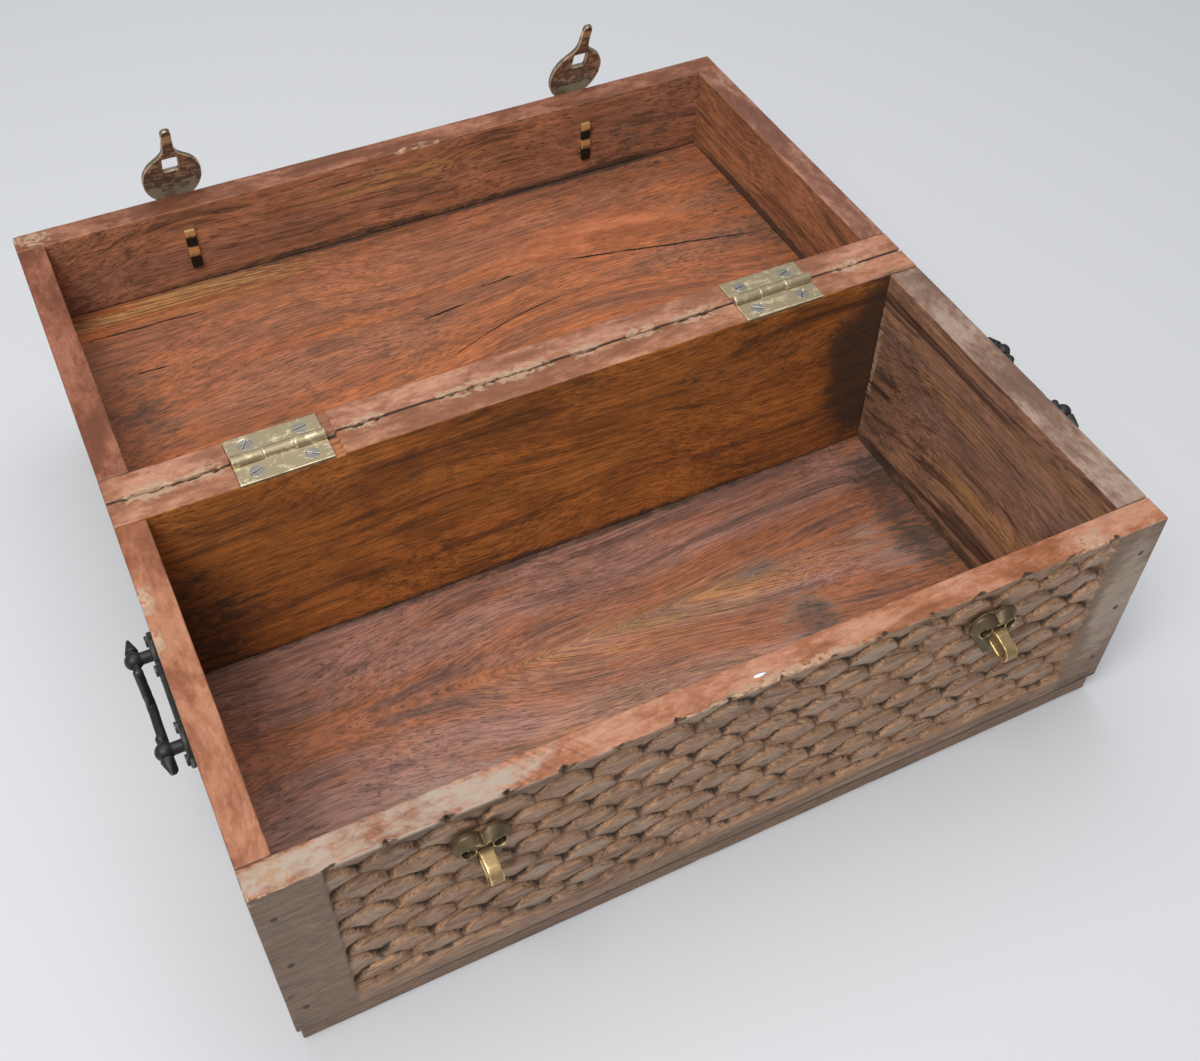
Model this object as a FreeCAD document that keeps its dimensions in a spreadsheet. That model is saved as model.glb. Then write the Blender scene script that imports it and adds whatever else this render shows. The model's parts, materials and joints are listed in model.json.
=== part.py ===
import FreeCAD, Part
import math
import os

Vector = FreeCAD.Vector
Rotation = FreeCAD.Rotation
X_AXIS = Vector(1, 0, 0)
Y_AXIS = Vector(0, 1, 0)
Z_AXIS = Vector(0, 0, 1)

doc = FreeCAD.newDocument("storage_chest")
sheet = doc.addObject("Spreadsheet::Sheet", "dims")

# Driving dimensions in millimetres and degrees.
SIZES = (
    ("length", 470.0, "outside length of the chest"),
    ("depth", 234.0, "outside depth of the chest, front face to back face"),
    ("base_height", 148.0, "floor to rim of the base"),
    ("lid_height", 70.0, "rim of the lid to its top face"),
    ("wall", 16.0, "thickness of the upright boards"),
    ("right_wall", 19.0, "thickness of the base's right board"),
    ("bottom_board", 14.0, "thickness of the bottom board"),
    ("bottom_inset", 2.0, "set-back of the bottom board behind the walls"),
    ("top_board", 14.0, "thickness of the lid's top board"),
    ("back_gap", 2.6, "gap between the two backs with the lid laid open"),
    ("rim_gap", 0.4, "gap between the two rims with the lid shut"),
    ("seat_gap", 0.05, "clearance of a driven nail, screw or pin in its hole"),
    ("nail_radius", 1.6, "radius of the board nails"),
    ("corner_nail", 34.0, "length of a corner nail"),
    ("board_nail", 32.0, "length of a nail through the bottom or top board"),
    ("rim_nail_radius", 2.2, "radius of the bright nail in the front rim"),
    ("rim_nail", 20.0, "length of the bright nail"),
    ("rim_nail_place", 5.0, "bright nail to the right of the middle"),
    ("rim_nail_set", 6.6, "front face to the bright nail"),
    ("flush_rise", 0.1, "how far a rim nail or screw head stands above the rim"),
    ("hinge_inset", 88.7, "end of the chest to the middle of a hinge"),
    ("hinge_length", 50.0, "length of a hinge along its pin"),
    ("leaf_thick", 1.8, "thickness of a hinge leaf"),
    ("leaf_margin", 0.2, "hinge leaf edge behind the inner face of the back board"),
    ("mortise_gap", 0.15, "clearance at each end of a hinge leaf in its mortise"),
    ("barrel_radius", 3.4, "outside radius of the hinge knuckles"),
    ("barrel_gap", 0.3, "clearance beside and between the knuckles"),
    ("barrel_notch", 0.5, "clearance of the knuckles in the back boards"),
    ("hinge_pin_radius", 1.6, "radius of the hinge pin"),
    ("screw_spread", 14.6, "hinge middle to a screw along the leaf"),
    ("screw_reach", 10.2, "hinge axis to a screw"),
    ("screw_head_radius", 4.0, "radius of a screw head"),
    ("screw_head", 2.2, "height of the countersunk head"),
    ("screw_radius", 1.9, "radius of a screw shank"),
    ("screw_length", 16.0, "length of a screw"),
    ("screw_slot", 1.2, "width of the driver slot"),
    ("screw_slot_reach", 4.6, "half the length of the cut for the driver slot"),
    ("screw_slot_depth", 0.9, "depth of the driver slot"),
    ("lock_left_inset", 99.0, "left end of the chest to the left hasp and staple"),
    ("lock_right_inset", 101.5, "right end of the chest to the right hasp and staple"),
    ("staple_drop", 28.0, "rim of the base to the staple's strap"),
    ("hasp_eye_drop", 28.0, "rim of the lid to the hasp's strap"),
    ("strap_width", 6.5, "width of the brass strap of an eye"),
    ("strap_thick", 2.2, "thickness of the brass strap"),
    ("strap_gap", 0.15, "clearance of the strap in its slot"),
    ("eye_radius", 3.2, "inside radius of an eye's ends"),
    ("eye_slope", 16.0, "downward slope of an eye in degrees"),
    ("staple_eye_start", 8.8, "board face to the first end of the staple's eye"),
    ("staple_eye_reach", 14.9, "board face to the outer end of the staple's eye"),
    ("hasp_eye_start", 5.6, "board face to the first end of the hasp's eye"),
    ("hasp_eye_reach", 16.2, "board face to the outer end of the hasp's eye"),
    ("clinch_up", 13.0, "length of the clinched leg turned towards the rim"),
    ("clinch_down", 15.0, "length of the other clinched leg"),
    ("heart_lobe", 7.6, "radius of a lobe of the heart-shaped plate"),
    ("heart_spread", 6.0, "heart middle to the middle of a lobe"),
    ("heart_lift", 3.5, "strap to the lobes' middles"),
    ("heart_tip", 21.5, "strap to the heart's tip"),
    ("heart_edge", 2.4, "thickness of the heart at its edge"),
    ("heart_crown", 6.6, "thickness of the heart at its crown"),
    ("heart_top", 0.72, "size of the heart's raised face as a share of the whole heart"),
    ("heart_slot_gap", 0.6, "room above and below the eye in the heart's slot"),
    ("heart_hole_radius", 3.1, "radius of the two holes in the heart"),
    ("heart_hole_spread", 7.4, "heart middle to a hole"),
    ("staple_nail_radius", 1.4, "radius of a nail that holds the heart"),
    ("staple_nail_head", 2.6, "radius of that nail's head"),
    ("staple_nail_cap", 1.4, "thickness of that nail's head"),
    ("staple_nail", 13.0, "length of that nail in the board"),
    ("hasp_lean", 25.0, "lean of a hasp over the rim with the lid open, degrees"),
    ("hasp_thick", 2.8, "thickness of a hasp"),
    ("hasp_root", 17.0, "width of a hasp at its forked root"),
    ("hasp_width", 36.0, "greatest width of a hasp"),
    ("hasp_flank", 27.0, "width of a hasp between its root and its widest place"),
    ("hasp_crest", 24.0, "width of a hasp at its upper shoulders"),
    ("hasp_neck", 9.6, "width of a hasp at its neck"),
    ("hasp_stem", 6.8, "width of the tail where it begins"),
    ("hasp_tail", 5.8, "width of the tail near its tip"),
    ("hasp_shoulder", 17.0, "pin to the end of the straight root"),
    ("hasp_flank_place", 23.0, "pin to the flank"),
    ("hasp_belly", 40.5, "pin to the widest place"),
    ("hasp_crest_place", 58.5, "pin to the upper shoulders"),
    ("hasp_neck_place", 66.5, "pin to the neck"),
    ("hasp_stem_place", 73.0, "pin to the beginning of the tail"),
    ("hasp_length", 89.0, "pin to the tip of the tail"),
    ("hasp_slot_width", 9.4, "width of the slot for the staple"),
    ("hasp_slot", 13.6, "height of the slot for the staple"),
    ("hasp_slot_place", 54.8, "pin to the middle of the slot"),
    ("hasp_pin_radius", 1.8, "radius of a hasp's pin"),
    ("hasp_pin_head", 2.7, "radius of the pin's riveted ends"),
    ("hasp_pin_cap", 0.9, "thickness of the pin's riveted ends"),
    ("hasp_knuckle", 3.8, "radius of the hasp's two knuckles"),
    ("hasp_side_gap", 0.5, "clearance beside the strap in the fork"),
    ("hasp_end_gap", 0.3, "clearance of the pin in the end of its eye"),
    ("handle_shift", 2.0, "handle middle behind the middle of the depth"),
    ("handle_drop", 13.0, "rim of the base to the handle's pivots"),
    ("handle_spread", 54.0, "distance between the two handle posts"),
    ("handle_plate", 82.0, "length of the handle's back plate"),
    ("handle_plate_thick", 2.5, "thickness of the back plate"),
    ("handle_band", 8.0, "height of the back plate's middle"),
    ("handle_lobe", 10.0, "radius of the plate's round lobes"),
    ("handle_cusp", 7.5, "half the height of the plate's pointed end at the lobe"),
    ("handle_post_radius", 3.0, "radius of a handle post"),
    ("handle_reach", 11.0, "board face to the handle's pivots"),
    ("handle_knob", 4.4, "radius of a post's ball"),
    ("bail_radius", 2.4, "radius of the bail's bar"),
    ("bail_pivot_radius", 2.0, "radius of the bail's pivots"),
    ("bail_drop", 26.0, "handle pivots to the middle of the bail's bar"),
    ("bail_side_gap", 0.4, "clearance between the bail and the posts' balls"),
    ("finial_reach", 13.0, "post to the tip of the bail's finial"),
    ("finial_radius", 3.3, "radius of the finial at its thick end"),
    ("finial_tip", 0.8, "radius of the finial at its tip"),
    ("handle_nail_radius", 1.4, "radius of a handle nail"),
    ("handle_nail_head", 2.7, "radius of a handle nail's head"),
    ("handle_nail_cap", 1.3, "thickness of a handle nail's head"),
    ("handle_nail", 11.0, "length of a handle nail in the board"),
    ("handle_nail_inner", 10.0, "post to the nail on its inner side"),
    ("handle_nail_outer", 8.5, "post to the nail near the plate's end"),
)

for row, (alias, value, note) in enumerate(SIZES, start=1):
    sheet.set(f"A{row}", note)
    sheet.set(f"B{row}", str(value))
    sheet.setAlias(f"B{row}", alias)
doc.recompute()

# Places that several pieces share, as formulas of the driving dimensions.
LEFT_X = "(-dims.length / 2)"
RIGHT_X = "(dims.length / 2)"
FRONT_Y = "(-dims.depth / 2)"
BACK_Y = "(dims.depth / 2)"
RIM_Z = "dims.base_height"
AXIS_Y = "(dims.depth / 2 + dims.back_gap / 2)"
AXIS_Z = "(dims.base_height + dims.rim_gap / 2)"
LID_BACK_Y = "(dims.depth / 2 + dims.back_gap)"
LID_FRONT_Y = "(dims.depth * 1.5 + dims.back_gap)"
LID_TOP_Z = "(dims.base_height - dims.lid_height)"
LID_WALL_Z = "(dims.base_height - dims.lid_height + dims.top_board)"

CORNER_NAIL_COUNT = 3
LID_CORNER_NAIL_COUNT = 2
EDGE_NAIL_COUNT = 5
END_NAIL_COUNT = 2
SIDES = {"left": -1, "right": 1}
SCREW_SLOT_ANGLES = (20.0, -35.0, 55.0, 10.0)
# Length by which a cutting shape runs past the face that it opens.
PAST = 2.0

TURNS = {
    "+X": Rotation(Y_AXIS, 90),
    "-X": Rotation(Y_AXIS, -90),
    "+Y": Rotation(X_AXIS, -90),
    "-Y": Rotation(X_AXIS, 90),
    "+Z": Rotation(),
    "-Z": Rotation(X_AXIS, 180),
}

nodes = {}


def number(expression):
    """Value of a formula of the driving dimensions."""
    return float(sheet.evalExpression(expression))


def bind(piece, values):
    """Tie each named property of a piece to its formula."""
    for path, expression in values.items():
        piece.setExpression(path, str(expression))


def move(piece, place):
    """Tie the position of a piece to three formulas."""
    for axis, expression in zip("xyz", place):
        piece.setExpression(f".Placement.Base.{axis}", str(expression))


def box(name, low, high):
    """Block between two corners, each given as three formulas."""
    piece = doc.addObject("Part::Box", name)
    sides = [f"({top}) - ({bottom})" for bottom, top in zip(low, high)]
    bind(piece, dict(zip(("Length", "Width", "Height"), sides)))
    move(piece, low)
    return piece


def rod(name, radius, height, place, direction):
    """Cylinder that starts at a place and runs in a direction."""
    piece = doc.addObject("Part::Cylinder", name)
    bind(piece, {"Radius": radius, "Height": height})
    piece.Placement = FreeCAD.Placement(Vector(), TURNS[direction])
    move(piece, place)
    return piece


def taper(name, radius, end_radius, height, place, direction):
    """Cone frustum that starts at a place and runs in a direction."""
    piece = doc.addObject("Part::Cone", name)
    bind(piece, {"Radius1": radius, "Radius2": end_radius, "Height": height})
    piece.Placement = FreeCAD.Placement(Vector(), TURNS[direction])
    move(piece, place)
    return piece


def fuse(name, pieces):
    """One solid made of pieces that overlap."""
    joined = doc.addObject("Part::MultiFuse", name)
    joined.Shapes = pieces
    return joined


def group(name, pieces):
    """Several separate solids that share one node."""
    gathered = doc.addObject("Part::Compound", name)
    gathered.Links = pieces
    return gathered


def cut(name, piece, tools):
    """Piece with the shapes of the tools taken away."""
    tool = tools[0]
    if len(tools) > 1:
        tool = group(f"{name}_tools", tools)
    result = doc.addObject("Part::Cut", name)
    result.Base = piece
    result.Tool = tool
    return result


def solid(name, shape, placement):
    """Free-form piece whose shape is worked out from the driving dimensions."""
    piece = doc.addObject("Part::Feature", name)
    piece.Shape = shape
    piece.Placement = placement
    return piece


def keep(name, piece):
    """Give a finished piece its node name."""
    piece.Label = name
    nodes[name] = piece


def loose(radius):
    """Radius of the hole for a driven pin of a given radius."""
    return f"({radius} + dims.seat_gap)"


def nail(name, place, direction, length):
    """Nail flush with a face and the hole that it sits in."""
    pin = rod(name, "dims.nail_radius", length, place, direction)
    hole = rod(f"{name}_hole", loose("dims.nail_radius"), length, place, direction)
    return pin, hole


def fractions(count):
    """Evenly spaced shares of a length, half a space from each end."""
    return [f"{(index + 0.5) / count:.6f}" for index in range(count)]


# Nails at the corners, driven through the front and back boards into the side boards.
SIDE_MIDDLES = {
    "base": {"left": f"({LEFT_X} + dims.wall / 2)", "right": f"({RIGHT_X} - dims.right_wall / 2)"},
    "lid": {"left": f"({LEFT_X} + dims.wall / 2)", "right": f"({RIGHT_X} - dims.wall / 2)"},
}
CORNER_FACES = {
    "base": {"front": (FRONT_Y, "+Y"), "back": (BACK_Y, "-Y")},
    "lid": {"front": (LID_FRONT_Y, "-Y"), "back": (LID_BACK_Y, "+Y")},
}
WALL_SPANS = {
    "base": ("dims.bottom_board", RIM_Z, CORNER_NAIL_COUNT),
    "lid": (LID_WALL_Z, RIM_Z, LID_CORNER_NAIL_COUNT),
}

holes = {}


def add_hole(board, hole):
    """Note a hole that a board needs."""
    holes.setdefault(board, []).append(hole)


def corner_nails(part):
    """Corner nails of the base or the lid, with their holes in both boards."""
    pins = []
    low, high, rows = WALL_SPANS[part]
    for face, (face_y, direction) in CORNER_FACES[part].items():
        for side, middle in SIDE_MIDDLES[part].items():
            for row, share in enumerate(fractions(rows), start=1):
                place = (middle, face_y, f"({low} + ({high} - {low}) * {share})")
                name = f"{part}_{face}_{side}_nail_{row}"
                pin, hole = nail(name, place, direction, "dims.corner_nail")
                pins.append(pin)
                add_hole(f"{part}_{face}_board", hole)
                add_hole(f"{part}_{side}_board", hole)
    keep(f"{part}_corner_nails", group(f"{part}_corner_nails", pins))


# Nails through the bottom and top boards into the upright boards.
FLAT_BOARDS = {
    "base": ("bottom", "0", FRONT_Y, BACK_Y, "dims.wall / 2"),
    "lid": ("top", LID_TOP_Z, LID_FRONT_Y, LID_BACK_Y, "-dims.wall / 2"),
}


def flat_board_nails(part):
    """Nails that hold the bottom or top board, with their holes."""
    pins = []
    flat, face_z, front_y, back_y, step = FLAT_BOARDS[part]
    places = []
    for share in fractions(EDGE_NAIL_COUNT):
        along = f"(dims.length * ({share} - 0.5))"
        places.append(("front", (along, f"({front_y} + {step})", face_z)))
        places.append(("back", (along, f"({back_y} - ({step}))", face_z)))
    for share in fractions(END_NAIL_COUNT):
        across = f"({front_y} + ({back_y} - {front_y}) * {share})"
        for side, middle in SIDE_MIDDLES[part].items():
            places.append((side, (middle, across, face_z)))
    for index, (wall, place) in enumerate(places, start=1):
        pin, hole = nail(f"{part}_{flat}_nail_{index}", place, "+Z", "dims.board_nail")
        pins.append(pin)
        add_hole(f"{part}_{flat}_board", hole)
        add_hole(f"{part}_{wall}_board", hole)
    keep(f"{part}_{flat}_nails", group(f"{part}_{flat}_nails", pins))


def rim_nail():
    """Bright nail driven down into the front rim."""
    place = ("dims.rim_nail_place", f"{FRONT_Y} + dims.rim_nail_set", f"{RIM_Z} + dims.flush_rise")
    pin = rod("front_rim_nail", "dims.rim_nail_radius", "dims.rim_nail", place, "-Z")
    hole = rod("front_rim_hole", loose("dims.rim_nail_radius"), "dims.rim_nail", place, "-Z")
    add_hole("base_front_board", hole)
    keep("front_rim_nail", pin)


def hinge_screw(name, place, slot_angle):
    """Countersunk slotted screw and the hole that it sits in."""
    head_x, head_y, head_z = place
    head_radius = "dims.screw_head_radius"
    shank_radius = "dims.screw_radius"
    head = taper(f"{name}_head", head_radius, shank_radius, "dims.screw_head", place, "-Z")
    shank = rod(f"{name}_shank", shank_radius, "dims.screw_length", place, "-Z")
    slot = doc.addObject("Part::Box", f"{name}_slot")
    bind(slot, {
        "Length": "2 * dims.screw_slot_reach",
        "Width": "dims.screw_slot",
        "Height": "2 * dims.screw_slot_depth",
    })
    turn = Rotation(Z_AXIS, slot_angle)
    slot.Placement = FreeCAD.Placement(Vector(), turn)
    cosine = math.cos(math.radians(slot_angle))
    sine = math.sin(math.radians(slot_angle))
    half = "dims.screw_slot_reach"
    move(slot, (
        f"{head_x} - {half} * {cosine:.6f} + dims.screw_slot / 2 * {sine:.6f}",
        f"{head_y} - {half} * {sine:.6f} - dims.screw_slot / 2 * {cosine:.6f}",
        f"{head_z} - dims.screw_slot_depth",
    ))
    screw = cut(name, fuse(f"{name}_blank", [head, shank]), [slot])
    sink = taper(f"{name}_sink", loose(head_radius), loose(shank_radius), "dims.screw_head", place, "-Z")
    bore = rod(f"{name}_bore", loose(shank_radius), "dims.screw_length", place, "-Z")
    return screw, fuse(f"{name}_hole", [sink, bore])


LEAF_WAYS = {"base": -1, "lid": 1}
LEAF_KNUCKLES = {"base": (1,), "lid": (0, 2)}
INNER_FACES = {"base": f"({BACK_Y} - dims.wall)", "lid": f"({LID_BACK_Y} + dims.wall)"}
LEAF_LOW_Z = f"({RIM_Z} - dims.leaf_thick)"


def from_axis(part, distance):
    """Place at a distance from the hinge axis, on the base's or the lid's side of it."""
    return f"({AXIS_Y} + {LEAF_WAYS[part]} * ({distance}))"


def slab(name, part, ends, ys, top):
    """Flat block of leaf thickness and more, between two distances across the rim."""
    low_y, high_y = ys if LEAF_WAYS[part] < 0 else ys[::-1]
    return box(name, (ends[0], low_y, LEAF_LOW_Z), (ends[1], high_y, top))


def hinge_leaf(side, part, start, screw_holes):
    """Leaf of a hinge with its knuckles, bored for the pin and countersunk for the screws."""
    name = f"hinge_{side}_{part}_leaf"
    end = f"({start} + dims.hinge_length)"
    inner = f"({INNER_FACES[part]} - {LEAF_WAYS[part]} * dims.leaf_margin)"
    outer = from_axis(part, "dims.barrel_radius + dims.barrel_gap")
    root = from_axis(part, "dims.barrel_radius + 2 * dims.barrel_gap")
    edge = from_axis(part, "dims.hinge_pin_radius / 2")
    blank = [slab(f"{name}_plate", part, (start, end), (inner, outer), RIM_Z)]
    for knuckle in LEAF_KNUCKLES[part]:
        low_x = f"({start} + dims.hinge_length / 3 * {knuckle} + dims.barrel_gap / 2)"
        high_x = f"({start} + dims.hinge_length / 3 * {knuckle + 1} - dims.barrel_gap / 2)"
        tag = f"{name}_knuckle_{knuckle + 1}"
        blank.append(slab(f"{tag}_strip", part, (low_x, high_x), (root, edge), RIM_Z))
        blank.append(rod(tag, "dims.barrel_radius", f"{high_x} - {low_x}", (low_x, AXIS_Y, AXIS_Z), "+X"))
    bore_place = (f"({start} - {PAST})", AXIS_Y, AXIS_Z)
    bore_length = f"(dims.hinge_length + 2 * {PAST})"
    bore = rod(f"{name}_bore", loose("dims.hinge_pin_radius"), bore_length, bore_place, "+X")
    keep(name, cut(name, fuse(f"{name}_blank", blank), [bore] + screw_holes))


def hinge_recess(side, part, start):
    """Mortise for a leaf and hollow for the knuckles in a back board."""
    name = f"hinge_{side}_{part}"
    ends = (f"({start} - dims.mortise_gap)", f"({start} + dims.hinge_length + dims.mortise_gap)")
    opening = f"({INNER_FACES[part]} + {LEAF_WAYS[part]} * {PAST})"
    mortise = slab(f"{name}_mortise", part, ends, (opening, AXIS_Y), f"({RIM_Z} + {PAST})")
    hollow = rod(
        f"{name}_hollow",
        "(dims.barrel_radius + dims.barrel_notch)",
        "(dims.hinge_length + 2 * dims.barrel_notch)",
        (f"({start} - dims.barrel_notch)", AXIS_Y, AXIS_Z),
        "+X",
    )
    add_hole(f"{part}_back_board", mortise)
    add_hole(f"{part}_back_board", hollow)


def hinge_screws(side, part, middle):
    """Two screws of a leaf; returns the holes that they need."""
    name = f"hinge_{side}_{part}_screw"
    first_angle = 2 * (part == "lid") + (side == "right")
    screws = []
    screw_holes = []
    for order, way in enumerate((-1, 1)):
        along = f"({middle} + {way} * dims.screw_spread)"
        place = (along, from_axis(part, "dims.screw_reach"), f"({RIM_Z} + dims.flush_rise)")
        angle = SCREW_SLOT_ANGLES[(first_angle + order) % len(SCREW_SLOT_ANGLES)]
        screw, hole = hinge_screw(f"{name}_{order + 1}", place, angle)
        screws.append(screw)
        screw_holes.append(hole)
        add_hole(f"{part}_back_board", hole)
    keep(f"{name}s", group(f"{name}s", screws))
    return screw_holes


def hinge(side):
    """Butt hinge let into both back rims: two leaves, a pin and four screws."""
    middle = f"({SIDES[side]} * (dims.length / 2 - dims.hinge_inset))"
    start = f"({middle} - dims.hinge_length / 2)"
    for part in LEAF_WAYS:
        hinge_leaf(side, part, start, hinge_screws(side, part, middle))
        hinge_recess(side, part, start)
    name = f"hinge_{side}_pin"
    keep(name, rod(name, "dims.hinge_pin_radius", "dims.hinge_length", (start, AXIS_Y, AXIS_Z), "+X"))


def board(name, low, high):
    """Upright or flat board with the holes and recesses that were noted for it."""
    keep(name, cut(name, box(f"{name}_blank", low, high), holes[name]))


def base_boards():
    """Five boards of the base: front and back run past the sides, the bottom is nailed below."""
    inner_front = f"({FRONT_Y} + dims.wall)"
    inner_back = f"({BACK_Y} - dims.wall)"
    low_z = "dims.bottom_board"
    board("base_front_board", (LEFT_X, FRONT_Y, low_z), (RIGHT_X, inner_front, RIM_Z))
    board("base_back_board", (LEFT_X, inner_back, low_z), (RIGHT_X, BACK_Y, RIM_Z))
    board("base_left_board", (LEFT_X, inner_front, low_z), (f"({LEFT_X} + dims.wall)", inner_back, RIM_Z))
    right_inner = f"({RIGHT_X} - dims.right_wall)"
    board("base_right_board", (right_inner, inner_front, low_z), (RIGHT_X, inner_back, RIM_Z))
    low = (f"({LEFT_X} + dims.bottom_inset)", f"({FRONT_Y} + dims.bottom_inset)", "0")
    high = (f"({RIGHT_X} - dims.bottom_inset)", f"({BACK_Y} - dims.bottom_inset)", low_z)
    board("base_bottom_board", low, high)


def lid_boards():
    """Five boards of the lid, laid open behind the base with its rim level with the base's rim."""
    inner_front = f"({LID_FRONT_Y} - dims.wall)"
    inner_back = f"({LID_BACK_Y} + dims.wall)"
    board("lid_front_board", (LEFT_X, inner_front, LID_WALL_Z), (RIGHT_X, LID_FRONT_Y, RIM_Z))
    board("lid_back_board", (LEFT_X, LID_BACK_Y, LID_WALL_Z), (RIGHT_X, inner_back, RIM_Z))
    board("lid_left_board", (LEFT_X, inner_back, LID_WALL_Z), (f"({LEFT_X} + dims.wall)", inner_front, RIM_Z))
    right_inner = f"({RIGHT_X} - dims.wall)"
    board("lid_right_board", (right_inner, inner_back, LID_WALL_Z), (RIGHT_X, inner_front, RIM_Z))
    board("lid_top_board", (LEFT_X, LID_BACK_Y, LID_TOP_Z), (RIGHT_X, LID_FRONT_Y, LID_WALL_Z))


def stadium(start, end, radius, width):
    """Round-ended bar between two points of the plane across X, centred on X."""
    along = end - start
    side = Vector(0, -along.z, along.y).normalize() * radius
    tip = along.normalize() * radius
    edges = [
        Part.makeLine(start + side, end + side),
        Part.Arc(end + side, end + tip, end - side).toShape(),
        Part.makeLine(end - side, start - side),
        Part.Arc(start - side, start - tip, start + side).toShape(),
    ]
    face = Part.Face(Part.Wire(edges))
    face.translate(Vector(-width / 2, 0, 0))
    return face.extrude(Vector(width, 0, 0))


def block(low, high):
    """Plain block between two points."""
    size = high - low
    return Part.makeBox(size.x, size.y, size.z, low)


def eye_axis(distance):
    """Point on the sloping centre line of an eye, in front of the board face."""
    slope = math.radians(number("dims.eye_slope"))
    return Vector(0, -distance * math.cos(slope), -distance * math.sin(slope))


def strap_eye(start, reach):
    """Brass strap folded into an eye, its two legs clinched behind the board.

    The strap leaves the board face at the origin, towards -Y, and slopes down towards -Z.
    """
    width = number("dims.strap_width")
    thick = number("dims.strap_thick")
    radius = number("dims.eye_radius")
    wall = number("dims.wall")
    near = eye_axis(start)
    far = eye_axis(reach)
    ring = stadium(near, far, radius + thick, width)
    half = width / 2
    neck = eye_axis(start - radius - thick / 2)
    stem = block(Vector(-half, neck.y, neck.z - thick), Vector(half, 0, thick))
    legs = block(Vector(-half, neck.y, -thick), Vector(half, wall + thick, thick))
    up = block(Vector(-half, wall, -thick), Vector(half, wall + thick, number("dims.clinch_down")))
    down = block(Vector(-half, wall, -number("dims.clinch_up")), Vector(half, wall + thick, thick))
    hole = stadium(near, far, radius, width + 2 * PAST)
    return ring.fuse([stem, legs, up, down]).cut(hole).removeSplitter()


def strap_slot():
    """Slot for the two legs of an eye through a board."""
    half = number("dims.strap_width / 2 + dims.strap_gap")
    rise = number("dims.strap_thick + dims.strap_gap")
    return block(Vector(-half, -PAST, -rise), Vector(half, number("dims.wall") + PAST, rise))


def heart_outline(share, out):
    """Heart at a share of its full size about the strap, in a plane a distance out from the board."""
    radius = share * number("dims.heart_lobe")
    spread = share * number("dims.heart_spread")
    lift = share * number("dims.heart_lift")
    drop = share * number("dims.heart_tip") + lift
    touch = math.asin(radius / math.hypot(spread, drop)) + math.atan2(spread, drop)
    crest = (math.acos(-spread / radius) - touch) / 2

    def lobe_point(way, angle):
        return Vector(way * (spread + radius * math.cos(angle)), -out, lift + radius * math.sin(angle))

    notch = Vector(0, -out, lift + math.sqrt(radius ** 2 - spread ** 2))
    tip = Vector(0, -out, lift - drop)
    edges = [
        Part.makeLine(tip, lobe_point(1, -touch)),
        Part.Arc(lobe_point(1, -touch), lobe_point(1, crest), notch).toShape(),
        Part.Arc(notch, lobe_point(-1, crest), lobe_point(-1, -touch)).toShape(),
        Part.makeLine(lobe_point(-1, -touch), tip),
    ]
    return Part.Wire(edges)


def heart_plate():
    """Heart-shaped brass plate with a sloping border, two round holes and a slot for the strap."""
    edge = number("dims.heart_edge")
    crown = number("dims.heart_crown")
    rim = Part.Face(heart_outline(1, 0)).extrude(Vector(0, -edge, 0))
    raised = heart_outline(number("dims.heart_top"), crown)
    slope = Part.makeLoft([heart_outline(1, edge), raised], True, True)
    plate = rim.fuse(slope).removeSplitter()
    hole_radius = number("dims.heart_hole_radius")
    for way in (-1, 1):
        place = Vector(way * number("dims.heart_hole_spread"), PAST, number("dims.heart_lift"))
        plate = plate.cut(Part.makeCylinder(hole_radius, crown + 2 * PAST, place, -Y_AXIS))
    half = number("dims.strap_width / 2 + dims.strap_gap")
    rise = number("dims.eye_radius + dims.strap_thick + dims.heart_slot_gap")
    low = eye_axis(crown).z - rise
    return plate.cut(block(Vector(-half, -crown - PAST, low), Vector(half, PAST, rise)))


def headed_nail(radius, head_radius, cap, depth):
    """Nail along +Y from the origin with its head in front of the origin."""
    shank = Part.makeCylinder(radius, depth + cap / 2, Vector(0, -cap / 2, 0), Y_AXIS)
    head = Part.makeCylinder(head_radius, cap, Vector(0, 0, 0), -Y_AXIS)
    return shank.fuse(head).removeSplitter()


def nail_hole(radius, depth):
    """Hole along +Y from the origin for a headed nail."""
    return Part.makeCylinder(radius + number("dims.seat_gap"), depth + PAST, Vector(0, -PAST, 0), Y_AXIS)


def moved(shape, placement, offset):
    """Copy of a shape shifted in its own frame and then placed."""
    copy = shape.copy()
    copy.translate(offset)
    copy.Placement = placement.multiply(copy.Placement)
    return copy


def lock_x(side):
    """Place of a hasp and its staple along the length."""
    return SIDES[side] * number(f"dims.length / 2 - dims.lock_{side}_inset")


def staple(side):
    """Staple on the base front: heart plate, strap eye and two nails."""
    root = Vector(lock_x(side), number(FRONT_Y), number(f"{RIM_Z} - dims.staple_drop"))
    placement = FreeCAD.Placement(root, Rotation())
    eye = strap_eye(number("dims.staple_eye_start"), number("dims.staple_eye_reach"))
    keep(f"staple_{side}_eye", solid(f"staple_{side}_eye", eye, placement))
    keep(f"staple_{side}_plate", solid(f"staple_{side}_plate", heart_plate(), placement))
    add_hole("base_front_board", solid(f"staple_{side}_slot", strap_slot(), placement))
    radius = number("dims.staple_nail_radius")
    depth = number("dims.staple_nail")
    pin = headed_nail(radius, number("dims.staple_nail_head"), number("dims.staple_nail_cap"), depth)
    pins = []
    for way in (-1, 1):
        offset = Vector(way * number("dims.heart_hole_spread"), 0, number("dims.heart_lift"))
        pins.append(moved(pin, placement, offset))
        hole = moved(nail_hole(radius, depth), placement, offset)
        add_hole("base_front_board", solid(f"staple_{side}_nail_hole_{len(pins)}", hole, hole.Placement))
    nails = Part.makeCompound(pins)
    keep(f"staple_{side}_nails", solid(f"staple_{side}_nails", nails, nails.Placement))


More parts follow.
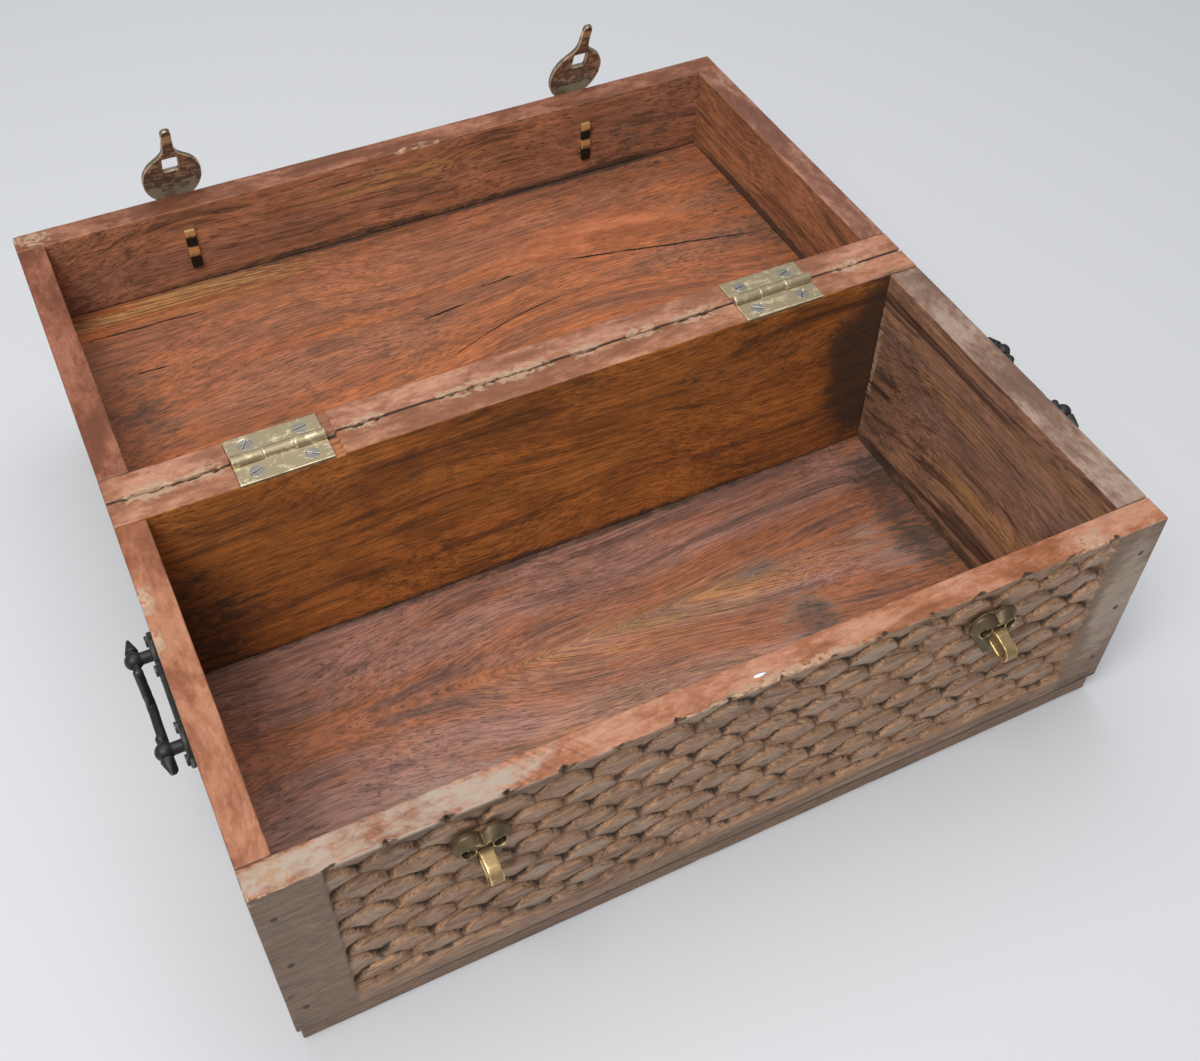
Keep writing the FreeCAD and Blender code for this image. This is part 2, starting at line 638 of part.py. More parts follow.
def hasp_outline():
    """Outline of a hasp: straight root, onion-shaped belly and finger tail, the pin at the origin."""
    root = number("dims.hasp_root / 2")
    shoulder = number("dims.hasp_shoulder")
    flank_point = Vector(number("dims.hasp_flank / 2"), 0, number("dims.hasp_flank_place"))
    belly = Vector(number("dims.hasp_width / 2"), 0, number("dims.hasp_belly"))
    crest = Vector(number("dims.hasp_crest / 2"), 0, number("dims.hasp_crest_place"))
    neck = Vector(number("dims.hasp_neck / 2"), 0, number("dims.hasp_neck_place"))
    stem = Vector(number("dims.hasp_stem / 2"), 0, number("dims.hasp_stem_place"))
    tail = number("dims.hasp_tail / 2")
    tip = Vector(0, 0, number("dims.hasp_length"))
    tail_end = Vector(tail, 0, tip.z - tail)
    corner = Vector(root, 0, shoulder)

    def mirrored(point):
        return Vector(-point.x, 0, point.z)

    def flank(points):
        curve = Part.BSplineCurve()
        curve.interpolate(points)
        return curve.toShape()

    right = [corner, flank_point, belly, crest, neck, stem, tail_end]
    edges = [
        Part.makeLine(Vector(-root, 0, 0), Vector(root, 0, 0)),
        Part.makeLine(Vector(root, 0, 0), corner),
        flank(right),
        Part.Arc(tail_end, tip, mirrored(tail_end)).toShape(),
        flank([mirrored(point) for point in reversed(right)]),
        Part.makeLine(mirrored(corner), Vector(-root, 0, 0)),
    ]
    return Part.Wire(edges)


def hasp_plate():
    """Cast hasp with a forked root on its pin and a slot for the staple."""
    thick = number("dims.hasp_thick")
    half_root = number("dims.hasp_root / 2")
    plate = Part.Face(hasp_outline()).extrude(Vector(0, thick, 0))
    plate.translate(Vector(0, -thick / 2, 0))
    knuckle_start = Vector(-half_root, 0, 0)
    knuckle = Part.makeCylinder(number("dims.hasp_knuckle"), 2 * half_root, knuckle_start, X_AXIS)
    plate = plate.fuse(knuckle).removeSplitter()
    ring = number("dims.eye_radius + dims.strap_thick")
    fork_half = number("dims.strap_width / 2 + dims.hasp_side_gap")
    fork_end = ring + number("dims.hasp_pin_radius + dims.hasp_side_gap")
    fork = block(Vector(-fork_half, -2 * ring, -2 * ring), Vector(fork_half, 2 * ring, fork_end))
    slot_half = number("dims.hasp_slot_width / 2")
    slot_low = number("dims.hasp_slot_place - dims.hasp_slot / 2")
    slot_high = number("dims.hasp_slot_place + dims.hasp_slot / 2")
    slot = block(Vector(-slot_half, -thick, slot_low), Vector(slot_half, thick, slot_high))
    bore_start = Vector(-half_root - PAST, 0, 0)
    bore_radius = number("dims.hasp_pin_radius + dims.seat_gap")
    bore = Part.makeCylinder(bore_radius, 2 * half_root + 2 * PAST, bore_start, X_AXIS)
    return plate.cut([fork, slot, bore])


def hasp_pin():
    """Pin through the fork and the eye, riveted over at both ends."""
    cap = number("dims.hasp_pin_cap")
    half = number("dims.hasp_root / 2 + dims.hasp_end_gap")
    pin = Part.makeCylinder(number("dims.hasp_pin_radius"), 2 * half, Vector(-half, 0, 0), X_AXIS)
    head = number("dims.hasp_pin_head")
    left = Part.makeCylinder(head, cap, Vector(-half - cap, 0, 0), X_AXIS)
    right = Part.makeCylinder(head, cap, Vector(half, 0, 0), X_AXIS)
    return pin.fuse([left, right]).removeSplitter()


def hasp(side):
    """Hasp on the lid front: strap eye, pin and plate, leaning over the open lid's rim."""
    root = Vector(lock_x(side), number(LID_FRONT_Y), number(f"{RIM_Z} - dims.hasp_eye_drop"))
    placement = FreeCAD.Placement(root, Rotation(X_AXIS, 180))
    reach = number("dims.hasp_eye_reach")
    eye = strap_eye(number("dims.hasp_eye_start"), reach)
    keep(f"hasp_{side}_eye", solid(f"hasp_{side}_eye", eye, placement))
    add_hole("lid_front_board", solid(f"hasp_{side}_slot", strap_slot(), placement))
    slack = number("dims.eye_radius - dims.hasp_pin_radius - dims.hasp_end_gap")
    pivot = placement.multVec(eye_axis(reach + slack))
    keep(f"hasp_{side}_pin", solid(f"hasp_{side}_pin", hasp_pin(), FreeCAD.Placement(pivot, Rotation())))
    lean = Rotation(X_AXIS, number("dims.hasp_lean"))
    keep(f"hasp_{side}_plate", solid(f"hasp_{side}_plate", hasp_plate(), FreeCAD.Placement(pivot, lean)))


def handle_mount():
    """Cast iron back plate with round lobes and pointed ends, and two posts with bored balls."""
    thick = number("dims.handle_plate_thick")
    half_length = number("dims.handle_plate / 2")
    half_band = number("dims.handle_band / 2")
    lobe = number("dims.handle_lobe")
    reach = number("dims.handle_reach")
    knob = number("dims.handle_knob")
    cusp = number("dims.handle_cusp")
    spread = number("dims.handle_spread / 2")
    mount = block(Vector(-spread, -thick, -half_band), Vector(spread, 0, half_band))
    pieces = []
    for way in (-1, 1):
        post = Vector(way * spread, 0, 0)
        point = Vector(way * half_length, 0, 0)
        upper = Vector(way * spread, 0, cusp)
        lower = Vector(way * spread, 0, -cusp)
        leaf = Part.Face(Part.makePolygon([point, upper, lower, point]))
        pieces.append(leaf.extrude(Vector(0, -thick, 0)))
        pieces.append(Part.makeCylinder(lobe, thick, post, -Y_AXIS))
        pieces.append(Part.makeCylinder(number("dims.handle_post_radius"), reach, post, -Y_AXIS))
        pieces.append(Part.makeSphere(knob, Vector(post.x, -reach, 0)))
    mount = mount.fuse(pieces).removeSplitter()
    bore_radius = number("dims.bail_pivot_radius + dims.seat_gap")
    bore = Part.makeCylinder(bore_radius, 4 * half_length, Vector(-2 * half_length, -reach, 0), X_AXIS)
    tools = [bore]
    tools += [nail_hole_in_plate(place) for place in handle_nail_places()]
    return mount.cut(tools)


def handle_nail_places():
    """Places of the four nails along a handle's back plate."""
    spread = number("dims.handle_spread / 2")
    inner = spread - number("dims.handle_nail_inner")
    outer = spread + number("dims.handle_nail_outer")
    return [-outer, -inner, inner, outer]


def nail_hole_in_plate(place):
    """Hole for one nail through a handle's back plate."""
    radius = number("dims.handle_nail_radius + dims.seat_gap")
    length = number("dims.handle_plate_thick") + 2 * PAST
    return Part.makeCylinder(radius, length, Vector(place, PAST, 0), -Y_AXIS)


def bail():
    """Hanging bail: two arms, a bar, and pivots that end in pointed finials outside the posts."""
    radius = number("dims.bail_radius")
    reach = number("dims.handle_reach")
    spread = number("dims.handle_spread / 2")
    knob = number("dims.handle_knob")
    gap = number("dims.bail_side_gap")
    drop = number("dims.bail_drop")
    arm = spread - knob - gap - radius
    pieces = []
    for way in (-1, 1):
        pivot = Vector(way * arm, -reach, 0)
        low = Vector(way * arm, -reach, -drop)
        pieces.append(Part.makeCylinder(radius, drop, low, Z_AXIS))
        pieces.append(Part.makeSphere(radius, pivot))
        pieces.append(Part.makeSphere(radius, low))
        seat = spread + knob + gap
        pin_length = seat - arm + gap
        outward = Vector(way, 0, 0)
        pieces.append(Part.makeCylinder(number("dims.bail_pivot_radius"), pin_length, pivot, outward))
        finial_start = Vector(way * seat, -reach, 0)
        finial_length = spread + number("dims.finial_reach") - seat
        finial = Part.makeCone(
            number("dims.finial_radius"), number("dims.finial_tip"), finial_length, finial_start, outward
        )
        pieces.append(finial)
    bar = Part.makeCylinder(radius, 2 * arm, Vector(-arm, -reach, -drop), X_AXIS)
    return bar.fuse(pieces).removeSplitter()


def handle(side):
    """Drop handle on one end board: mount, bail and four nails."""
    face_x = number(LEFT_X if SIDES[side] < 0 else RIGHT_X)
    place = Vector(face_x, number("dims.handle_shift"), number(f"{RIM_Z} - dims.handle_drop"))
    placement = FreeCAD.Placement(place, Rotation(Z_AXIS, 90 * SIDES[side]))
    keep(f"handle_{side}_mount", solid(f"handle_{side}_mount", handle_mount(), placement))
    keep(f"handle_{side}_bail", solid(f"handle_{side}_bail", bail(), placement))
    radius = number("dims.handle_nail_radius")
    depth = number("dims.handle_nail")
    thick = number("dims.handle_plate_thick")
    pin = headed_nail(radius, number("dims.handle_nail_head"), number("dims.handle_nail_cap"), depth + thick)
    pins = []
    for index, along in enumerate(handle_nail_places(), start=1):
        pins.append(moved(pin, placement, Vector(along, -thick, 0)))
        hole = moved(nail_hole(radius, depth), placement, Vector(along, 0, 0))
        add_hole(f"base_{side}_board", solid(f"handle_{side}_nail_hole_{index}", hole, hole.Placement))
    nails = Part.makeCompound(pins)
    keep(f"handle_{side}_nails", solid(f"handle_{side}_nails", nails, nails.Placement))


def check_document():
    """Stop if any object failed or any piece has no valid shape."""
    for piece in doc.Objects:
        if "Invalid" in piece.State or "Error" in piece.State:
            raise RuntimeError(f"{piece.Name} failed: {piece.State}")
    for name, piece in nodes.items():
        if piece.Shape.isNull() or not piece.Shape.isValid() or not piece.Shape.Solids:
            raise RuntimeError(f"{name} has no valid solid")


def write_parts():
    """Write each piece to its own file."""
    os.makedirs("parts", exist_ok=True)
    for name, piece in nodes.items():
        piece.Shape.exportStep(f"parts/{name}.step")
        print(f"{name}: {len(piece.Shape.Solids)} solids, {piece.Shape.Volume:.1f} mm3")


for part in ("base", "lid"):
    corner_nails(part)
    flat_board_nails(part)
rim_nail()
for side in SIDES:
    hinge(side)
    staple(side)
    hasp(side)
    handle(side)
base_boards()
lid_boards()
doc.recompute()
check_document()
write_parts()
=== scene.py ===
"""Looks of an old carved wooden storage chest that lies open on a pale floor."""

import json
import logging
import math
from collections.abc import Callable, Mapping, Sequence
from dataclasses import dataclass, field
from enum import Enum
from itertools import product
from typing import ClassVar

import bmesh
import bpy
import numpy as np
from mathutils import Matrix, Vector


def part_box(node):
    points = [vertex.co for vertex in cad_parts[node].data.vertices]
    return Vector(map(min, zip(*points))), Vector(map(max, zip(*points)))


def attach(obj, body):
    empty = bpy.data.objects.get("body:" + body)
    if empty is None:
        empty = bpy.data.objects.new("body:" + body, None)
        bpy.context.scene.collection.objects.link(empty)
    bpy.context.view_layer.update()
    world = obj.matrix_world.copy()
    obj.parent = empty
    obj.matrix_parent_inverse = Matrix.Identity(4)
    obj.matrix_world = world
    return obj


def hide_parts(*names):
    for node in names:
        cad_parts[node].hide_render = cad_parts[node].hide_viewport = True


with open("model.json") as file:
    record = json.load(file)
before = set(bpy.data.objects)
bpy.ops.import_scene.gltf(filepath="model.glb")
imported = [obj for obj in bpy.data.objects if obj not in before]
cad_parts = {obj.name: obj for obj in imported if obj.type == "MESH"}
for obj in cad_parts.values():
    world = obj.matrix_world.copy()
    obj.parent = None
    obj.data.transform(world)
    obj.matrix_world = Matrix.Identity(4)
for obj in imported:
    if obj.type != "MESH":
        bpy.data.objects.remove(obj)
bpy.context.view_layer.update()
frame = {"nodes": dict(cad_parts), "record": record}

MM = 0.001
LOG = logging.getLogger("chest")
# Places in millimetres in the chest's frame, with the lid laid open.
RIM_TOP = 148.0
HINGE_SPANS = ((-171.45, -116.3), (121.15, 171.45))
JOINT_REACH = 0.6
# Middle and half length of each broken place along the joint of base and lid.
JOINT_FLAWS = (
    (-213.0, 20.0), (-186.0, 14.0), (-100.0, 16.0), (-44.0, 24.0), (-10.0, 22.0),
    (28.0, 12.0), (62.0, 15.0), (96.0, 18.0), (198.0, 16.0),
)
BOARD_NAILS = ("base_corner_nails", "base_bottom_nails", "lid_corner_nails", "lid_top_nails")

Triple = tuple[float, float, float]
Socket = bpy.types.NodeSocket
Array = np.ndarray


class Mask(Enum):
    """What a point of a surface has been through, and the light, shade and sheen painted on it, kept as an
    attribute of the mesh.
    """

    # This mask also carries painted light on the face of each hasp that is turned towards the lid.
    WEAR = "wear"
    # This mask also carries painted shade in crevices, seams, notches, corners and folds.
    GRIME = "grime"
    WEATHER = "weather"
    GOLD = "gold"
    RIM = "rim"
    # This mask also carries painted sheen: paler, greyer patches that stand for reflected light.
    DUST = "dust"


class Side(Enum):
    """Left or right end of the chest, as seen from the carved front."""

    LEFT = "left"
    RIGHT = "right"


class Grain(Enum):
    """Direction in which the fibres of a board run, as a turn about the upright in degrees."""

    ALONG_LENGTH = 0.0
    ALONG_DEPTH = -90.0


class Facing(Enum):
    """Direction that the outside of a board faces while the lid lies open."""

    FRONT = (0.0, -1.0, 0.0)
    BACK = (0.0, 1.0, 0.0)
    LEFT = (-1.0, 0.0, 0.0)
    RIGHT = (1.0, 0.0, 0.0)
    BELOW = (0.0, 0.0, -1.0)


class Noise:
    """Smooth seeded noise between 0 and 1 on arrays of points."""

    SIZE = 4096
    STRIDES = (73856093, 19349663, 83492791)
    OCTAVE_SHIFT = 17.0

    def __init__(self, seed: int) -> None:
        """Fill the table of lattice values from a seed."""
        self.table = np.random.default_rng(seed).random(self.SIZE)

    def value(self, points: Array) -> Array:
        """One octave of noise.

        Args:
            points: Places, one row each, in lattice units.

        Returns:
            One value between 0 and 1 for each place.
        """
        cell = np.floor(points).astype(np.int64)
        part = points - cell
        ease = part * part * (3.0 - 2.0 * part)
        total = np.zeros(len(points))
        for corner in product((0, 1), repeat=3):
            hashed = np.bitwise_xor.reduce((cell + corner) * self.STRIDES, axis=1) % self.SIZE
            total += self.table[hashed] * np.prod(np.where(corner, ease, 1.0 - ease), axis=1)
        return total

    def layered(self, points: Array, octaves: int = 3) -> Array:
        """Sum of octaves, each twice as fine and half as strong as the last.

        Args:
            points: Places, one row each, in lattice units of the first octave.
            octaves: Number of layers.

        Returns:
            One value between 0 and 1 for each place.
        """
        strengths = [0.5**octave for octave in range(octaves)]
        total = np.zeros(len(points))
        for octave, strength in enumerate(strengths):
            total += strength * self.value(points * 2.0**octave + self.OCTAVE_SHIFT * octave)
        return total / sum(strengths)


def smoothstep(low: float, high: float, value: Array) -> Array:
    """Ease from 0 at the low limit to 1 at the high limit."""
    share = np.clip((value - low) / (high - low), 0.0, 1.0)
    return share * share * (3.0 - 2.0 * share)


def gathered(items: bpy.types.bpy_prop_collection, name: str, width: int, kind: type = float) -> Array:
    """Read one property of many items.

    Args:
        items: Points or edges of a mesh.
        name: Name of the property.
        width: Numbers in each value.
        kind: Kind of number.

    Returns:
        One row for each item.
    """
    values = np.empty(len(items) * width, dtype=kind)
    items.foreach_get(name, values)
    return values.reshape(-1, width)


def linked(name: str, data: bpy.types.ID) -> bpy.types.Object:
    """Make an object around its data and link it to the scene.

    Args:
        name: The object's name.
        data: What the object holds.

    Returns:
        The new object.
    """
    made = bpy.data.objects.new(name, data)
    bpy.context.scene.collection.objects.link(made)
    return made


def write_mask(mesh: bpy.types.Mesh, mask: Mask, values: Array) -> None:
    """Keep one value for each point of a mesh under a mask's name."""
    attribute = mesh.attributes.new(mask.value, "FLOAT", "POINT")
    attribute.data.foreach_set("value", np.clip(values, 0.0, 1.0).astype(np.float32))


def body_of_node(node: str) -> str:
    """Name of the moving body that a node of the solid model belongs to."""
    bodies = frame["record"]["behaviour"]["bodies"]
    return next(body for body, nodes in bodies.items() if node in nodes)


def slot_of_node(node: str) -> str:
    """Name of the record's material slot that a node takes its finish from."""
    return next(part["material_slot"] for part in frame["record"]["subparts"] if part["node"] == node)


def put_in_place(piece: bpy.types.Object, node: str) -> None:
    """Let a piece stand for a node of the solid model and move with its body.

    Args:
        piece: The piece of the scene.
        node: The node of the solid model.
    """
    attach(piece, body_of_node(node))
    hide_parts(node)
    slot_of_node(node)
    LOG.info("%s: %d faces", piece.name, len(piece.data.polygons))


class Wire:
    """A shader value with which sums and products are written in the usual signs."""

    def __init__(self, graph: "Graph", socket: Socket) -> None:
        """Hold one output of a graph's node."""
        self.graph, self.socket = graph, socket

    def __add__(self, other: "Value") -> "Wire":
        """Place a sum."""
        return self.graph.math("ADD", self, other)

    def __sub__(self, other: "Value") -> "Wire":
        """Place a difference."""
        return self.graph.math("SUBTRACT", self, other)

    def __rsub__(self, other: float) -> "Wire":
        """Place a difference from a number."""
        return self.graph.math("SUBTRACT", other, self)

    def __mul__(self, other: "Value") -> "Wire":
        """Place a product."""
        return self.graph.math("MULTIPLY", self, other)


Value = Wire | float | Sequence[float]
Wires = Mapping[int | str, Wire]


class Graph:
    """Short ways to place and join shader nodes."""

    def __init__(self, tree: bpy.types.NodeTree) -> None:
        """Work on one node tree."""
        self.tree = tree

    def feed(self, socket: Socket, value: Value) -> None:
        """Join a socket to a wire, or set its own value.

        Args:
            socket: The socket.
            value: The wire or the plain value.
        """
        if isinstance(value, Wire):
            self.tree.links.new(value.socket, socket)
        else:
            socket.default_value = value

    def add(self, kind: str, inputs: Mapping[int | str, Value], **settings: object) -> Wires:
        """Place a node.

        Args:
            kind: Blender's name of the node.
            inputs: Value of each fed input by its number or name.
            settings: Properties of the node.

        Returns:
            The node's outputs by number and by name.
        """
        node = self.tree.nodes.new(kind)
        for name, value in settings.items():
            setattr(node, name, value)
        for key, value in inputs.items():
            self.feed(node.inputs[key], value)
        wires = [Wire(self, socket) for socket in node.outputs]
        return {**{wire.socket.name: wire for wire in wires}, **dict(enumerate(wires))}

    def math(self, operation: str, first: Value, second: Value = 0.0, clamp: bool = False) -> Wire:
        """Place a sum of one or two values; with clamp the result stays between 0 and 1."""
        return self.add("ShaderNodeMath", {0: first, 1: second}, operation=operation, use_clamp=clamp)[0]

    def vectors(self, operation: str, first: Wire, second: Value) -> Wire:
        """Place a sum or product of two vectors."""
        return self.add("ShaderNodeVectorMath", {0: first, 1: second}, operation=operation)[0]

    def ease(self, value: Wire, low: Value, high: Value, start: float = 0.0, end: float = 1.0) -> Wire:
        """Ease from start to end while a value goes from the low to the high limit."""
        inputs = dict(enumerate((value, low, high, start, end)))
        return self.add("ShaderNodeMapRange", inputs, interpolation_type="SMOOTHSTEP")[0]

    def mix(self, share: Value, first: Value, second: Value, blend: str = "MIX") -> Wire:
        """Mix a share of a second colour into a first one."""
        inputs = {0: share, 6: first, 7: second}
        return self.add("ShaderNodeMix", inputs, data_type="RGBA", blend_type=blend, clamp_factor=True)[2]

    def shaded(self, colour: Value, value: Wire) -> Wire:
        """Multiply a colour by a value."""
        grey = self.add("ShaderNodeCombineColor", dict.fromkeys(range(3), value))[0]
        return self.mix(1.0, colour, grey, "MULTIPLY")

    def noise(
        self, vector: Wire, cells: Triple, detail: float = 2.0, distortion: float = 0.0, rough: float = 0.5
    ) -> Wire:
        """Place stretched noise.

        Args:
            vector: Coordinates in metres.
            cells: Noise cells per metre along each axis.
            detail: Layers of finer noise.
            distortion: How much the noise bends itself.
            rough: Share of the finer layers.

        Returns:
            The noise value.
        """
        inputs = {"Vector": self.vectors("MULTIPLY", vector, cells), "Scale": 1.0, "Detail": detail}
        return self.add("ShaderNodeTexNoise", {**inputs, "Distortion": distortion, "Roughness": rough})["Fac"]

    def mask(self, mask: Mask) -> Wire:
        """Read one of the masks that the meshes keep."""
        return self.add("ShaderNodeAttribute", {}, attribute_name=mask.value)["Fac"]

    def place(self) -> Wire:
        """Read the place on the object, in metres."""
        return self.add("ShaderNodeTexCoord", {})["Object"]

    def turned(self, vector: Wire, degrees: float) -> Wire:
        """Turn coordinates about the upright."""
        turn = (0.0, 0.0, math.radians(degrees))
        return self.add("ShaderNodeMapping", {"Vector": vector, "Rotation": turn})[0]

    def split(self, vector: Wire) -> tuple[Wire, Wire, Wire]:
        """Part a vector into its three numbers."""
        parts = self.add("ShaderNodeSeparateXYZ", {0: vector})
        return parts[0], parts[1], parts[2]

    def joined(self, x: Value, y: Value, z: Value) -> Wire:
        """Make a vector from three numbers."""
        return self.add("ShaderNodeCombineXYZ", {0: x, 1: y, 2: z})[0]


class ShaderGroup:
    """A shader effect that several finishes share, as a node group with named sockets."""

    KINDS = {"colour": "NodeSocketColor", "value": "NodeSocketFloat", "vector": "NodeSocketVector"}
    LOOKS = {"Color": "colour", "Roughness": "value", "Height": "value"}

    def __init__(self, name: str, inputs: Mapping[str, str], outputs: Mapping[str, str]) -> None:
        """Make an empty group with its sockets.

        Args:
            name: Name of the group.
            inputs: Kind of each input by its name.
            outputs: Kind of each output by its name.
        """
        self.tree = bpy.data.node_groups.new(name, "ShaderNodeTree")
        for way, sockets in (("INPUT", inputs), ("OUTPUT", outputs)):
            for socket, kind in sockets.items():
                self.tree.interface.new_socket(socket, in_out=way, socket_type=self.KINDS[kind])
        self.graph = Graph(self.tree)
        self.entry = self.graph.add("NodeGroupInput", {})
        self.exit = self.tree.nodes.new("NodeGroupOutput").inputs

    def finish(self, **values: Value) -> None:
        """Feed the outputs of the group."""
        for name, value in values.items():
            self.graph.feed(self.exit[name], value)

    def placed(self, graph: Graph, values: Mapping[str, Value]) -> Wires:
        """Place the group in a material with its own values."""
        return graph.add("ShaderNodeGroup", values, node_tree=self.tree)


class AgedWoodGroup(ShaderGroup):
    """Old hardwood: bands, streaks and pores along the grain, then dirt that is partly painted shade, a dusty
    film that is partly painted sheen, and raw chips.
    """

    COLOURS = ("Dark", "Mid", "Light", "Gold", "Rim", "Pale Rim", "Weathered", "Raw", "Soot_And_Shade", "Dust")
    BLACK = (0.006, 0.004, 0.003, 1.0)
    SAW_SLANT = 52.0
    # Noise cells per metre along and across the grain.
    LINES = (9.0, 640.0, 640.0)
    FLECKS = (55.0, 1300.0, 1300.0)
    MOTTLES = (110.0, 230.0, 230.0)
    SMUDGES = (17.0, 36.0, 36.0)
    CRUMBS = (230.0, 330.0, 330.0)
    CURVES = (5.0, 8.0, 8.0)
    AREAS = (1.6, 26.0, 26.0)
    BANDS = (2.6, 120.0, 120.0)
    SAW_MARKS = (30.0, 620.0, 30.0)

    def __init__(self) -> None:
        """Build the group once."""
        colours = dict.fromkeys(self.COLOURS, "colour")
        inputs = {"Vector": "vector", "Figure": "value", "Saw": "value", **colours, "Crack": "value"}
        super().__init__("AgedWood", inputs, self.LOOKS)
        graph, entry = self.graph, self.entry
        bent = self.bent(entry["Vector"])
        line = graph.noise(bent, self.LINES, 3.0)
        fleck = graph.noise(bent, self.FLECKS, 1.0)
        mottle = graph.noise(entry["Vector"], self.MOTTLES, 8.0, 0.3, 0.72)
        smudge = graph.noise(entry["Vector"], self.SMUDGES, 8.0, 0.4, 0.68)
        rim = graph.mask(Mask.RIM)
        weathering = graph.mask(Mask.WEATHER)
        weather = weathering * graph.ease(smudge, 0.36, 0.60, 0.70, 1.0)
        open_grain = 1.0 - graph.math("MAXIMUM", rim * 0.8, weathering * 0.5)
        colour = self.rimmed(self.figured(bent, line, smudge), rim, smudge, mottle)
        colour = graph.mix(weather, colour, entry["Weathered"])
        hair = graph.ease(line, 0.36, 0.62, -0.23, 0.13) * open_grain
        cloud = graph.ease(smudge, 0.36, 0.64, 0.91, 1.22) * graph.ease(mottle, 0.36, 0.64, 0.87, 1.11)
        colour = graph.shaded(colour, (hair + 1.0) * cloud)
        pore = graph.ease(fleck, 0.57, 0.69) * open_grain
        colour = graph.mix(pore * 0.65, colour, entry["Soot_And_Shade"])
        blotch = (smudge + mottle) * 0.5
        # This pale film is partly dusty and partly painted sheen.
        dust = self.clouded(Mask.DUST, blotch, 1.0)
        colour = graph.mix(dust, colour, entry["Dust"])
        # The darkening from this mask is partly dirt and partly painted shade.
        grime = self.clouded(Mask.GRIME, blotch, 1.3)
        colour = graph.mix(grime * 0.88, colour, entry["Soot_And_Shade"])
        crumb = graph.noise(entry["Vector"], self.CRUMBS, 4.0, 0.3)
        raw = self.clouded(Mask.WEAR, crumb, 1.4)
        bare = graph.shaded(entry["Raw"], graph.ease(crumb, 0.35, 0.62, 1.15, 0.70))
        colour = graph.mix(raw, colour, bare)
        dull = weather * 0.20 + raw * 0.34 + grime * 0.10 + dust * 0.26 + mottle * 0.20 + line * 0.12
        self.finish(
            Color=graph.mix(entry["Crack"], colour, self.BLACK),
            Roughness=graph.math("ADD", dull, 0.26, True),
            Height=line * 0.30 + mottle * 0.35 - pore * 0.35 - raw * 0.5 - entry["Crack"] * 2.6,
        )

    def bent(self, vector: Wire) -> Wire:
        """Push the coordinates across the grain so that the bands run in slow curves."""
        across = (self.graph.noise(vector, self.CURVES, 1.0) - 0.5) * 0.07
        return self.graph.vectors("ADD", vector, self.graph.joined(0.0, across, across))

    def figured(self, bent: Wire, line: Wire, smudge: Wire) -> Wire:
        """Colour the clean wood: soft light areas with thin dark and golden streaks.

        Args:
            bent: Coordinates that follow the bands.
            line: Noise of the fine lines.
            smudge: Noise of the soft clouds.

        Returns:
            The colour.
        """
        graph, entry = self.graph, self.entry
        broad = graph.noise(bent, self.AREAS, 3.0, 0.0, 0.55)
        band = graph.noise(bent, self.BANDS, 4.0, 0.2, 0.58)
        light = graph.ease(broad + (smudge - 0.5) * 0.35, 0.40, 0.60)
        colour = graph.mix(light, entry["Mid"], entry["Light"])
        colour = graph.mix(graph.ease(band, 0.51, 0.66) * entry["Figure"], colour, entry["Dark"])
        gold = graph.mask(Mask.GOLD) * graph.ease(band + line, 0.86, 1.10)
        return graph.mix(gold, colour, entry["Gold"])

    def rimmed(self, colour: Wire, rim: Wire, smudge: Wire, mottle: Wire) -> Wire:
        """Colour the handled upper edges, with slanting marks of the saw where they are dry.

        Args:
            colour: Colour of the clean wood.
            rim: Mask of the upper edges.
            smudge: Noise of the soft clouds.
            mottle: Noise of the fine clouds.

        Returns:
            The colour with the edges.
        """
        graph, entry = self.graph, self.entry
        slant = graph.noise(graph.turned(entry["Vector"], self.SAW_SLANT), self.SAW_MARKS, 2.0)
        dry = graph.ease(graph.mask(Mask.DUST), 0.0, 0.3) * entry["Saw"]
        sawn = graph.ease(slant, 0.38, 0.62, -0.24, 0.18) * dry + 1.0
        patch = graph.ease(smudge + mottle * 0.5, 0.66, 0.88)
        handled = graph.mix(patch, entry["Rim"], entry["Pale Rim"])
        handled = graph.shaded(handled, sawn * graph.ease(smudge, 0.40, 0.58, 0.80, 1.08))
        return graph.mix(rim * 0.94, colour, handled)

    def clouded(self, mask: Mask, cloud: Wire, spread: float) -> Wire:
        """Read a mask whose limits are broken up by a noise.

        Args:
            mask: The mask.
            cloud: The noise.
            spread: How far the noise shifts the mask.

        Returns:
            The broken mask.
        """
        graph = self.graph
        strength = graph.mask(mask)
        shifted = strength + (cloud - 0.5) * (2.0 * spread)
        return graph.ease(shifted, 0.22, 0.70) * graph.ease(strength, 0.02, 0.20)


class CrackGroup(ShaderGroup):
    """One drying crack that wanders along the grain and closes at both ends."""

    VALUES = ("Start", "End", "Across", "Slope", "Bow", "Wander", "Width", "Taper")
    LEAST_WIDTH = 0.00002

    def __init__(self) -> None:
        """Build the group once."""
        inputs = {"Vector": "vector", **dict.fromkeys(self.VALUES, "value")}
        super().__init__("DryingCrack", inputs, {"Mask": "value"})
        graph, entry = self.graph, self.entry
        along, across, _ = graph.split(entry["Vector"])
        travel = along - entry["Start"]
        left = entry["End"] - along
        wander = graph.noise(entry["Vector"], (70.0, 0.0, 0.0), 6.0, 0.0, 0.6) - 0.5
        line = entry["Across"] + entry["Slope"] * travel + wander * entry["Wander"]
        line = line + travel * left * entry["Bow"]
        away = graph.math("ABSOLUTE", across - line)
        taper = graph.ease(travel, 0.0, entry["Taper"]) * graph.ease(left, 0.0, entry["Taper"])
        broken = graph.ease(graph.noise(entry["Vector"], (90.0, 0.0, 0.0), 2.0), 0.30, 0.60, 0.35, 1.0)
        width = graph.math("MAXIMUM", entry["Width"] * (taper * broken), self.LEAST_WIDTH)
        self.finish(Mask=graph.ease(graph.math("DIVIDE", away, width), 1.2, 0.6) * taper)


